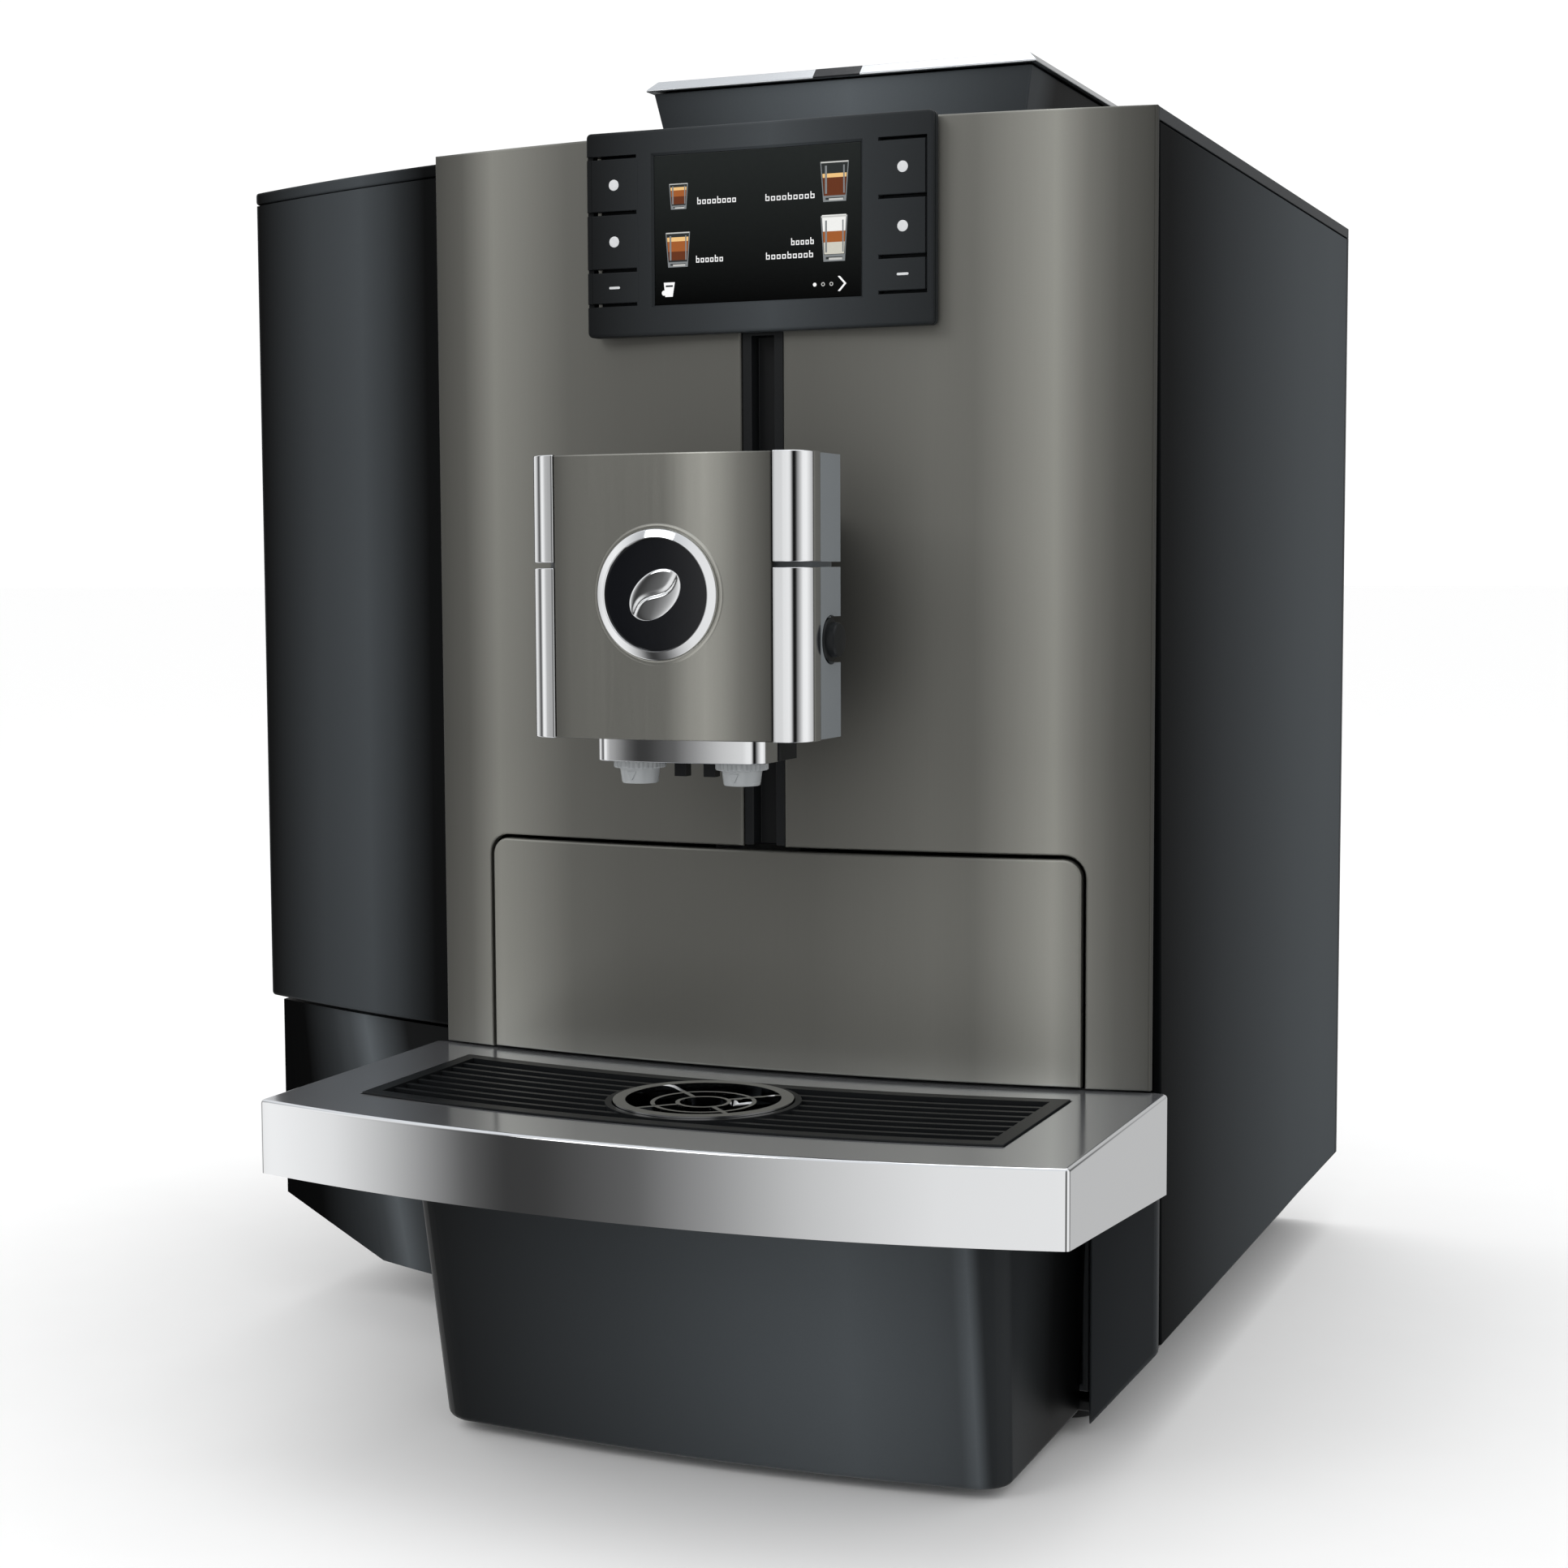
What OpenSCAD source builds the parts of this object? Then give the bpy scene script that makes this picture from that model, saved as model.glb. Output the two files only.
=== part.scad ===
// Free-standing bean-to-cup coffee machine with a side water tank.
// The origin is on the counter, under the middle of the machine's outer box:
// X to the viewer's right, Y to the rear, Z up. All sizes in millimetres.

/* [Machine] */
// Overall width, from the tank's side to the tray's right edge
machine_w = 373; // [371:1:376]
// Overall depth, from the tray's nose to the rear cover
machine_d = 462; // [460:1:464]
// Overall height, from the counter to the top of the bean lid
machine_h = 470; // [469:1:473]
// Height of the body's top
body_h = 435; // [434:1:436]
// Width of the body between its side planes
body_w = 259; // [257:1:260]
// Height of the lower edge of the side panels
skirt_h = 32; // [30:1:34]
// Clearance between the body's underside and the counter
underside_h = 4; // [3:0.5:4]
// Wall of the moulded covers
wall = 3; // [2.5:0.5:3]

/* [Front panel] */
// Radius of the front panel's bow
panel_r = 660; // [640:10:700]
// Distance from the tray's nose back to the middle of the front panel
nose_gap = 117; // [116:1:118]
// Half width of the drawer's door
door_hw = 107.5; // [106:0.5:108]
// Height of the door's top edge
door_top = 196; // [194:1:197]
// Half width of the black rail strip
rail_hw = 7.5; // [7:0.5:8]

/* [Drip tray] */
// Width of the tray's metal rim
tray_w = 270; // [270:1:271]
// Height of the tray's top plate
tray_top = 120.5; // [120:0.5:121]
// Height of the rim's band at the front
tray_band = 24; // [22:1:26]
// Radius of the tray's bowed front
tray_r = 525; // [515:5:540]
// Half width of the drip grille
grille_hw = 109; // [106:1:110]

/* [Display] */
// Half width of the display housing
display_hw = 61.5; // [61:0.5:62]
// Height of the display housing's lower edge
display_z = 368; // [367:1:369]
// Half width of the screen
screen_hw = 36.8; // [35:0.1:37.5]
// Width of one key
key_w = 16.4; // [15:0.1:16.6]
// Travel of a key
key_travel = 1.2; // [0.5:0.1:1.4]

/* [Spout] */
// Half width of the spout block
spout_hw = 47; // [46:0.5:48]
// Height of the spout block's lower edge
spout_z = 238; // [237:1:240]
// Height of the spout block
spout_h = 87.5; // [86:0.5:88]
// Height of the joint line above the spout block's lower edge
spout_joint = 53.5; // [52:0.5:55]
// Distance between the two outlets
outlet_gap = 35; // [33:1:36]
// Outer diameter of the badge ring
badge_d = 40; // [36:1:42]

/* [Water tank] */
// Gap between the tank and the body's left panel
tank_gap = 2; // [1.5:0.5:3]
// Height of the parting line between the tank and its dock
tank_z = 122.5; // [121:0.5:124]
// Wall of the tank
tank_wall = 2.5; // [2:0.5:3]

/* [Bean hopper] */
// Width of the bean lid
lid_w = 150; // [146:1:152]
// Depth of the bean lid
lid_d = 160; // [150:1:165]

/* [Hidden] */
$fn = 64;
fn_bow = 360;
eps = 0.5;
sheet = 2;

satin_black = [0.10, 0.11, 0.12];
deep_black = [0.03, 0.03, 0.035];
dark_steel = [0.40, 0.39, 0.36];
bright_metal = [0.80, 0.81, 0.82];
grey_plastic = [0.45, 0.47, 0.48];
clear_grey = [0.75, 0.77, 0.78];
board_green = [0.05, 0.30, 0.16];

front_x = machine_w / 2 - tray_w / 2;
body_x0 = front_x - body_w / 2;
body_x1 = front_x + body_w / 2;
nose_y = -machine_d / 2;
rear_y = machine_d / 2;
frame_top = 425;
panel_y = nose_y + nose_gap;
panel_cy = panel_y + panel_r;
tray_cy = nose_y + tray_r;
top_t = 4;
top_z = body_h - top_t;
side_top_y = panel_edge_y(body_w / 2) + wall + 1;
side_low_y = side_top_y + 14;

// Drawer
door_gap = 1.3;
door_corner = 6;
door_z = tray_top + 1;
door_clear = door_hw + door_gap;
tray_rear_y = panel_y + 14;
rim_t = 1.5;
bin_top_hw = 104;
bin_low_hw = 100;
bin_front_y = nose_y + 46;
bin_lean = 10;
bin_r = 600;
bin_rear_y = 52;
bin_t = 2.5;
bin_top = tray_top - 4;
pan_z = tray_top - tray_band + 1;
pan_t = 2;
bin_step_y = -79;
bin_step_z = 12;
grille_front_y = nose_y + 26.5;
grille_rear_y = grille_front_y + 71;
grille_t = 4;
ring_r = 29;
ring_y = nose_y + 66;
slat_count = 8;

// Display
display_y = panel_y - 5;
display_top = body_h + 0.6;
window_top = body_h - 5;
screen_z0 = 377.8;
screen_z1 = 427;
key_x = 51.2;
key_rows = [[409.4, 426.9], [390.4, 408.4], [378.8, 389.4]];

// Spout block
spout_y0 = -197;
spout_y1 = -164;
spout_r = 225;
spout_corner = 9;
cover_hw = 36.5;
cover_t = 2.4;
chin_hw = 28.5;
chin_h = 7.5;
outlet_y = -173;
cap_y = -172;
cap_z = 268.5;
neck_top = 314;
badge_z = 282.5;
spout_top = spout_z + spout_h;

// Tank: its bow continues the front panel's, turned further back
tank_x0 = -machine_w / 2;
tank_x1 = body_x0 - wall - tank_gap;
tank_bow = [89, 550];
tank_bow_r = 660;
tank_rear_y = 205;
dock_inset = 3;
dock_gap = 1;
dock_low_z = 15;
dock_edge_z = 44;
dock_chamfer = 33;
valve = [-120, 120];
valve_r = 7;

// Bean hopper and grinder
hopper_x = 43.75;
hopper_y0 = -26;
lid_z = machine_h - 4;
hopper_mid_y = hopper_y0 + lid_d / 2;
throat_r = 19;
throat_z = 332;
grinder = [hopper_x, hopper_mid_y];
grinder_z0 = 262;
grinder_z1 = 328;

// Brew unit
brew = [105, 112];
brew_bore_r = 23;
brew_fit = 0.05;
brew_half = 38;
brew_foot_z = 9;
brew_plates = [30, 108, 188];
brew_plate_t = 5;
brew_top = 193;
brew_seat_z = 113;
chamber_z = 100;
chamber_h = 84;
shank_r = 5;

// Bay above which the works sit
shelf_z = 205;

function panel_edge_y(dx) = panel_cy - sqrt(panel_r * panel_r - dx * dx);
function tank_edge_y(x) = tank_bow[1] - sqrt(pow(tank_bow_r, 2) - pow(x - tank_bow[0], 2));

// A box given by its two corners
module block(a, b) {
    translate(a) cube([b[0] - a[0], b[1] - a[1], b[2] - a[2]]);
}

// Everything behind a bowed front of radius r centred on (x, cy)
module bow(x, cy, r, z0, z1) {
    translate([x, cy, z0]) cylinder(r = r, h = z1 - z0, $fn = fn_bow);
}

// A curved sheet of thickness t that follows the front panel's bow
module bowed_sheet(x0, x1, z0, z1, t, set_back = 0) {
    difference() {
        intersection() {
            bow(front_x, panel_cy, panel_r - set_back, z0, z1);
            block([x0, panel_y - 5, z0 - eps], [x1, panel_y + 40, z1 + eps]);
        }
        bow(front_x, panel_cy, panel_r - set_back - t, z0 - eps, z1 + eps);
    }
}

// An upright plate in the XZ plane with rounded top corners, for door outlines
module arched_plate(hw, z0, z1, r, y0, y1) {
    translate([front_x, y1, 0]) rotate([90, 0, 0]) linear_extrude(y1 - y0) {
        translate([-hw, z0]) square([2 * hw, z1 - z0 - r]);
        translate([-hw + r, z1 - r - eps]) square([2 * (hw - r), r + eps]);
        for (s = [-1, 1]) translate([s * (hw - r), z1 - r]) circle(r = r);
    }
}

// A tube or a bar along X or Y
module rod_x(x0, x1, y, z, r) {
    translate([x0, y, z]) rotate([0, 90, 0]) cylinder(r = r, h = x1 - x0);
}
module rod_y(x, y0, y1, z, r) {
    translate([x, y0, z]) rotate([-90, 0, 0]) cylinder(r = r, h = y1 - y0);
}

// ---- Housing ----

module base_plate() {
    w = 23;
    z0 = underside_h;
    flange = wall + 0.2;
    color(deep_black) difference() {
        translate([0, rear_y - wall, 0]) rotate([90, 0, 0]) linear_extrude(rear_y - wall + 75.5)
            polygon([[body_x0 + flange, skirt_h + 8], [body_x0 + flange, skirt_h - 0.2],
                     [body_x0 + 1, skirt_h - 0.2],
                     [body_x0 + w, z0], [body_x1 - w, z0], [body_x1 - 1, skirt_h - 0.2],
                     [body_x1 - flange, skirt_h - 0.2], [body_x1 - flange, skirt_h + 8]]);
        translate([0, rear_y + eps, 0]) rotate([90, 0, 0]) linear_extrude(rear_y + 80)
            polygon([[body_x0 + flange + 2.5, skirt_h + 9], [body_x0 + flange + 2.5, skirt_h + 1],
                     [body_x0 + w + 1.5, z0 + 4], [body_x1 - w - 1.5, z0 + 4],
                     [body_x1 - flange - 2.5, skirt_h + 1], [body_x1 - flange - 2.5, skirt_h + 9]]);
        for (i = [0:7]) block([front_x - 66 + i * 18, 150, z0 - eps], [front_x - 60 + i * 18, 200, z0 + 5]);
    }
}

module feet() {
    color(deep_black) for (x = [body_x0 + 38, body_x1 - 38], y = [-62, rear_y - 26])
        translate([x, y, 0]) cylinder(r = 11, h = underside_h);
}

module chassis_frame() {
    x0 = body_x0 + wall + 1.2;
    x1 = body_x1 - wall - 1.2;
    y0 = -74;
    y1 = rear_y - 12;
    color(deep_black) {
        for (x = [x0, x1 - sheet]) difference() {
            union() {
                block([x, y0, skirt_h + 10], [x + sheet, y1, frame_top]);
                block([x, side_top_y - 0.6, tray_top + 6], [x + sheet, y0 + eps, frame_top]);
            }
            for (y = [y0 + 20, y0 + 160]) block([x - 1, y, 60], [x + 3, y + 110, 185]);
            for (y = [y0 + 20, y0 + 160]) block([x - 1, y, 225], [x + 3, y + 110, 400]);
        }
        difference() {
            block([x0 + sheet - 0.1, y0, shelf_z], [x1 - sheet + 0.1, y1, shelf_z + sheet]);
            block([60, 68, shelf_z - 1], [150, 156, shelf_z + 3]);
            translate([grinder[0], grinder[1], shelf_z - 1]) cylinder(r = 8, h = 5);
            block([x0 + 12, 170, shelf_z - 1], [x1 - 12, y1 - 12, shelf_z + 3]);
        }
        block([x0 + sheet - 0.1, y1 - sheet, 380], [x1 - sheet + 0.1, y1, frame_top]);
    }
}

module rear_cover() {
    x0 = body_x0;
    x1 = body_x1;
    color(satin_black) difference() {
        translate([0, rear_y, 0]) rotate([90, 0, 0]) linear_extrude(wall)
            polygon([[x0, skirt_h], [x0 + 20, underside_h + 4], [x1 - 20, underside_h + 4], [x1, skirt_h],
                     [x1, top_z], [x0, top_z]]);
        for (i = [0:11]) block([front_x - 80, rear_y - wall - 1, 300 + i * 8],
                               [front_x + 80, rear_y + 1, 303 + i * 8]);
        block([115, rear_y - wall - 1, 60], [143, rear_y + 1, 81]);
        block([150, rear_y - wall - 1, 60], [164, rear_y + 1, 81]);
        for (x = [x0 + 10, x1 - 10], z = [48, 235, 420]) rod_y(x, rear_y - 8, rear_y + 1, z, 1.8);
    }
}

module side_outline() {
    polygon([[side_low_y, skirt_h], [rear_y - wall - 0.2, skirt_h],
             [rear_y - wall - 0.2, top_z - 0.5], [side_top_y, top_z - 0.5]]);
}

module side_skin(x) {
    translate([x, 0, 0]) rotate([90, 0, 90]) linear_extrude(wall) side_outline();
}

module right_side_panel() {
    color(satin_black) side_skin(body_x1 - wall);
}

module left_side_panel() {
    color(satin_black) side_skin(body_x0);
}

module top_cover() {
    color(satin_black) difference() {
        intersection() {
            bow(front_x, panel_cy, panel_r - wall - 0.3, top_z, body_h);
            block([body_x0, panel_y, top_z], [body_x1, rear_y, body_h]);
        }
        block([hopper_x - 70.5, hopper_y0 + 4.5, top_z - 1],
              [hopper_x + 70.5, hopper_y0 + lid_d - 4.5, body_h + 1]);
        block([129, -14, top_z - 1], [165, 34, body_h + 1]);
        block([125.5, -18.5, body_h - 2], [168.5, 44, body_h + 1]);
        translate([body_x0 + 30, -52, top_z - 1]) cylinder(r = 7.5, h = top_t + 2);
    }
}

module front_panel() {
    color(dark_steel) difference() {
        bowed_sheet(body_x0, body_x1, tray_top + 0.6, body_h, wall);
        arched_plate(door_clear, tray_top - 2, door_top + door_gap, door_corner + door_gap,
                     panel_y - 3, panel_y + 20);
        block([front_x - rail_hw, panel_y - 3, door_top - 5],
              [front_x + rail_hw, panel_y + 20, display_z + 10]);
        block([front_x - display_hw + 3, panel_y - 3, display_z + 4],
              [front_x + display_hw - 3, panel_y + 20, window_top]);
    }
}

module rail_strip() {
    z0 = door_top + door_gap + 0.4;
    color(deep_black) difference() {
        block([front_x - rail_hw + 0.1, panel_y + 0.8, z0],
              [front_x + rail_hw - 0.1, panel_y + 10, display_z + 3.4]);
        block([front_x - 4, panel_y - 1, z0 - 1], [front_x + 4, panel_y + 7, display_z - 1]);
    }
}

module cheek() {
    top = tray_top - 34;
    difference() {
        translate([0, -76, 0]) rotate([90, 0, 0]) linear_extrude(14)
            polygon([[body_x1 - 23, underside_h], [body_x1, skirt_h - 1], [body_x1, top],
                     [body_x1 - 23, top]]);
        block([body_x1 - wall - 0.3, -86, 0], [body_x1 + 1, -75, top + 1]);
    }
}

module lower_cheeks() {
    color(satin_black) {
        cheek();
        translate([2 * front_x, 0, 0]) mirror([1, 0, 0]) cheek();
    }
}

module housing_screws() {
    color(bright_metal) for (x = [body_x0 + 10, body_x1 - 10], z = [48, 235, 420]) {
        rod_y(x, rear_y - 1.2, rear_y, z, 1.6);
        rod_y(x, rear_y - 11, rear_y - 1, z, 1.2);
    }
}

// ---- Display ----

module key_pocket(side, row) {
    cz = key_rows[row];
    x = front_x + side * key_x;
    block([x - key_w / 2 - 0.3, display_y - 1, cz[0] - 0.3],
          [x + key_w / 2 + 0.3, display_y + 6, cz[1] + 0.3]);
    rod_y(x, display_y + 5, display_y + 14, (cz[0] + cz[1]) / 2, 2.2);
}

module display_housing() {
    color(deep_black) difference() {
        union() {
            block([front_x - display_hw, display_y, display_z],
                  [front_x + display_hw, panel_y - 0.05, display_top]);
            block([front_x - display_hw + 3.3, panel_y - 0.1, display_z + 4.3],
                  [front_x + display_hw - 3.3, display_y + 16, window_top - 0.3]);
        }
        block([front_x - screen_hw, display_y - 1, screen_z0],
              [front_x + screen_hw, display_y + 4, screen_z1]);
        for (side = [-1, 1], row = [0:2]) key_pocket(side, row);
    }
}

module display_screen() {
    color([0.02, 0.02, 0.03]) block([front_x - screen_hw + 0.1, display_y + 0.3, screen_z0 + 0.1],
                                    [front_x + screen_hw - 0.1, display_y + 3.9, screen_z1 - 0.1]);
}

module soft_key(side, row) {
    cz = key_rows[row];
    x = front_x + side * key_x;
    color(satin_black) {
        block([x - key_w / 2, display_y, cz[0]], [x + key_w / 2, display_y + 6 - key_travel - 0.4, cz[1]]);
        rod_y(x, display_y + 4, display_y + 11, (cz[0] + cz[1]) / 2, 1.6);
    }
}

module key_left_1() { soft_key(-1, 0); }
module key_left_2() { soft_key(-1, 1); }
module key_left_3() { soft_key(-1, 2); }
module key_right_1() { soft_key(1, 0); }
module key_right_2() { soft_key(1, 1); }
module key_right_3() { soft_key(1, 2); }

module power_key() {
    color(satin_black) translate([body_x0 + 30, -52, 0]) {
        translate([0, 0, top_z - 3]) cylinder(r = 7, h = top_t + 3.4);
        translate([0, 0, top_z - 5]) cylinder(r = 9, h = 2.2);
    }
}

// ---- Drip tray drawer ----

module tray_plan(inset, z0, z1) {
    intersection() {
        bow(front_x, tray_cy, tray_r - inset, z0, z1);
        block([front_x - tray_w / 2 + inset, nose_y - 1, z0 - eps],
              [front_x + tray_w / 2 - inset, tray_rear_y, z1 + eps]);
    }
}

module grille_plan(inset, z0, z1) {
    intersection() {
        bow(front_x, grille_front_y + tray_r, tray_r - inset, z0, z1);
        block([front_x - grille_hw + inset, nose_y, z0 - eps],
              [front_x + grille_hw - inset, grille_rear_y + 20, z1 + eps]);
        difference() {
            block([front_x - 200, nose_y, z0], [front_x + 200, 0, z1]);
            bow(front_x, grille_rear_y + tray_r, tray_r + inset, z0 - eps, z1 + eps);
        }
    }
}

module tray_rim() {
    low = tray_top - tray_band;
    color(bright_metal) difference() {
        union() {
            tray_plan(0, tray_top - rim_t, tray_top);
            difference() {
                tray_plan(0, low, tray_top);
                tray_plan(rim_t, low - 1, tray_top + 1);
                block([front_x - 130, tray_rear_y - 5, low - 1], [front_x + 130, 0, tray_top]);
            }
            for (s = [-1, 1]) translate([front_x + s * (tray_w - rim_t) / 2 - rim_t / 2, 0, 0])
                rotate([90, 0, 90]) linear_extrude(rim_t)
                    polygon([[tray_rear_y, tray_top - 1], [tray_rear_y, tray_top - tray_band - 9],
                             [nose_y + 19, low], [nose_y + 19, tray_top - 1]]);
        }
        grille_plan(-0.5, tray_top - 5, tray_top + 1);
    }
}

// The bin's outer form drawn in by inset: tapered sides, a leaning bowed front and a stepped floor
module bin_form(inset, z1) {
    z0 = underside_h + inset;
    intersection() {
        translate([front_x, bin_rear_y - inset, 0]) rotate([90, 0, 0])
            linear_extrude(bin_rear_y - nose_y)
                polygon([[-bin_low_hw + inset, z0], [bin_low_hw - inset, z0],
                         [bin_top_hw - inset, z1], [-bin_top_hw + inset, z1]]);
        translate([front_x - 150, 0, 0]) rotate([90, 0, 90]) linear_extrude(300)
            polygon([[nose_y, z0], [bin_step_y - inset, z0], [bin_step_y - inset, bin_step_z + inset],
                     [bin_rear_y - inset, bin_step_z + inset], [bin_rear_y - inset, z1], [nose_y, z1]]);
        translate([front_x, bin_front_y + bin_r + inset, tray_top - tray_band]) rotate([-bin_lean, 0, 0])
            translate([0, 0, -200]) cylinder(r = bin_r, h = 400, $fn = fn_bow);
    }
}

module drip_tray() {
    color(satin_black) difference() {
        union() {
            difference() {
                bin_form(0, bin_top);
                block([front_x - 110, nose_y, pan_z + pan_t], [front_x + 110, tray_rear_y - 1, bin_top + 1]);
            }
            difference() {
                tray_plan(rim_t + 0.3, pan_z, bin_top);
                tray_plan(rim_t + 0.3 + pan_t, pan_z + pan_t, bin_top + 1);
            }
        }
        bin_form(bin_t, bin_top + 1);
        block([front_x - 60, bin_rear_y - 10, 100], [front_x + 60, bin_rear_y + 5, bin_top + 5]);
    }
}

module grounds_container() {
    x0 = front_x - 70;
    x1 = front_x + 70;
    y0 = -94;
    y1 = 30;
    z0 = bin_step_z + bin_t + 0.2;
    color(deep_black) difference() {
        block([x0, y0, z0], [x1, y1, door_top - 8]);
        block([x0 + 2, y0 + 2, z0 + 2], [x1 - 2, y1 - 2, door_top]);
        block([x0 - 1, y1 - 30, 150], [x1 + 1, y1 + 1, door_top]);
    }
}

module drawer_front() {
    color(dark_steel) {
        intersection() {
            bowed_sheet(front_x - door_hw - 5, front_x + door_hw + 5, door_z, door_top + 5, wall, -0.3);
            arched_plate(door_hw, door_z - 1, door_top, door_corner, panel_y - 5, panel_y + 30);
        }
        for (x = [front_x - 45, front_x + 25])
            block([x, panel_y + 4.6, door_z + 10], [x + 20, -94.1, door_z + 60]);
    }
}

module drip_grille() {
    z1 = tray_top + 0.6;
    z0 = z1 - grille_t;
    pitch = (grille_rear_y - grille_front_y - 10) / slat_count;
    color(deep_black) difference() {
        grille_plan(0, z0, z1);
        difference() {
            grille_plan(5, z0 - 1, z1 + 1);
            for (i = [1:slat_count - 1]) difference() {
                bow(front_x, grille_front_y + 5 + i * pitch + tray_r, tray_r, z0, z1 - 0.6);
                bow(front_x, grille_front_y + 5 + i * pitch + tray_r, tray_r - 2, z0 - 1, z1);
            }
            for (x = [-70, 70]) block([front_x + x - 1.5, nose_y, z0], [front_x + x + 1.5, 0, z0 + 2]);
            translate([front_x, ring_y, z0]) cylinder(r = ring_r + 2.5, h = grille_t);
        }
        translate([front_x, ring_y, z0 - 1]) cylinder(r = ring_r + 0.4, h = grille_t + 2);
    }
}

module grille_ring() {
    z1 = tray_top + 1.2;
    color(bright_metal) translate([front_x, ring_y, 0]) {
        difference() {
            translate([0, 0, z1 - 4.4]) cylinder(r = ring_r, h = 4.4);
            translate([0, 0, z1 - 6]) cylinder(r = ring_r - 4, h = 8);
        }
        for (a = [45, 135]) rotate([0, 0, a]) difference() {
            block([-ring_r + 3, -0.8, z1 - 3.6], [ring_r - 3, 0.8, z1 - 1.2]);
            translate([0, 0, z1 - 5]) cylinder(r = 8, h = 6);
        }
        for (r = [17, 9]) difference() {
            translate([0, 0, z1 - 3.6]) cylinder(r = r, h = 2.4);
            translate([0, 0, z1 - 5]) cylinder(r = r - 1.4, h = 6);
        }
    }
}

// ---- Spout ----

// Plan of the spout block: a bowed front, round front corners and a flat rear
module spout_plan(inset) {
    hw = spout_hw - inset;
    y_edge = spout_y0 + spout_r - sqrt(spout_r * spout_r - spout_hw * spout_hw) + inset;
    translate([front_x, 0]) {
        translate([-hw, y_edge + spout_corner]) square([2 * hw, spout_y1 - y_edge - spout_corner]);
        intersection() {
            translate([0, spout_y0 + inset + spout_r]) circle(r = spout_r, $fn = fn_bow);
            translate([-hw + spout_corner, spout_y0]) square([2 * (hw - spout_corner), spout_y1 - spout_y0]);
        }
        for (s = [-1, 1]) translate([s * (hw - spout_corner), y_edge + spout_corner + 0.6])
            circle(r = spout_corner);
    }
}

module spout_shape(inset, z0, z1) {
    translate([0, 0, z0]) linear_extrude(z1 - z0) spout_plan(inset);
}

// Front zone of the block where the bright trims wrap its corners
module trim_zone(z0, z1) {
    block([front_x - 60, spout_y0 - 5, z0], [front_x + 60, spout_y1 - 16.5, z1]);
}

module trim(z0, z1) {
    color(bright_metal) difference() {
        intersection() {
            spout_shape(0, z0, z1);
            trim_zone(z0, z1);
        }
        spout_shape(1.6, z0 - 1, z1 + 1);
        block([front_x - cover_hw, spout_y0 - 5, z0 - 1], [front_x + cover_hw, spout_y1, z1 + 1]);
    }
}

module spout_trim_upper() { trim(spout_z + spout_joint + 0.8, spout_top); }
module spout_trim_lower() { trim(spout_z, spout_z + spout_joint - 0.8); }

module spout_body() {
    z0 = spout_z + 0.4;
    z1 = spout_top - 0.4;
    joint = spout_z + spout_joint;
    color(grey_plastic) difference() {
        union() {
            difference() {
                spout_shape(0, z0, z1);
                trim_zone(z0 - 1, z1 + 1);
            }
            intersection() {
                spout_shape(1.7, z0, z1);
                trim_zone(z0 - 1, z1 + 1);
            }
        }
        difference() {
            block([front_x - 60, -300, joint - 0.8], [front_x + 60, 0, joint + 0.8]);
            spout_shape(3, joint - 2, joint + 2);
        }
        block([front_x - cover_hw - 0.3, -220, z0 - 1], [front_x + cover_hw + 0.3, spout_y0 + 7, z1 + 1]);
        block([front_x - 34.3, spout_y0 + 9.5, spout_z + 6], [front_x + 34.3, spout_y1 + 1, spout_top - 6]);
        block([front_x - chin_hw - 1, spout_y0 + 9.5, z0 - 1],
            [front_x + chin_hw + 1, spout_y1 + 1, spout_z + 7]);
        rod_x(front_x + 30, front_x + 60, cap_y, cap_z, 5.5);
        rod_x(front_x + spout_hw - 3.2, front_x + 60, cap_y, cap_z, 7.6);
    }
}

module spout_cover() {
    color(dark_steel) difference() {
        intersection() {
            translate([front_x, spout_y0 + spout_r, spout_z + 0.2])
                cylinder(r = spout_r, h = spout_h - 0.4, $fn = fn_bow);
            block([front_x - cover_hw + 0.3, spout_y0 - 2, spout_z],
                [front_x + cover_hw - 0.3, spout_y0 + 7, spout_top]);
        }
        translate([front_x, spout_y0 + spout_r, spout_z - 1])
            cylinder(r = spout_r - cover_t, h = spout_h + 2, $fn = fn_bow);
        rod_y(front_x, spout_y0 - 5, spout_y0 + 10, badge_z, 12);
    }
}

module badge_ring() {
    color(bright_metal) difference() {
        rod_y(front_x, spout_y0 - 1.6, spout_y0 + 1.2, badge_z, badge_d / 2);
        rod_y(front_x, spout_y0 - 3, spout_y0 + 3, badge_z, badge_d / 2 - 2.6);
        intersection() {
            translate([front_x, spout_y0 + spout_r, badge_z - 30])
                cylinder(r = spout_r, h = 60, $fn = fn_bow);
            rod_y(front_x, spout_y0 - 1, spout_y0 + 5, badge_z, badge_d);
        }
    }
}

module badge_disc() {
    color(deep_black) {
        rod_y(front_x, spout_y0 - 0.9, spout_y0 - 0.05, badge_z, badge_d / 2 - 2.7);
        rod_y(front_x, spout_y0 - 0.1, spout_y0 + 3.5, badge_z, 11.5);
    }
}

module spout_chin() {
    z1 = spout_z + 0.2;
    z0 = spout_z - chin_h;
    y0 = spout_y0 + 12;
    color(bright_metal) difference() {
        chin_shape(0, y0, z0, z1);
        chin_shape(1.2, y0, z0 - 1, z1 + 1);
        block([front_x - 60, spout_y1 - 6, z0 - 1], [front_x + 60, 0, z1 + 1]);
    }
}

module chin_shape(inset, y0, z0, z1) {
    r = 9 - inset;
    translate([front_x, 0, z0]) linear_extrude(z1 - z0) {
        for (s = [-1, 1]) translate([s * (chin_hw - 9), y0 + 9]) circle(r = r);
        translate([-chin_hw + 9, y0 + inset]) square([2 * (chin_hw - 9), 20]);
        translate([-chin_hw + inset, y0 + 9]) square([2 * (chin_hw - inset), spout_y1 - y0 - 10]);
    }
}

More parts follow.
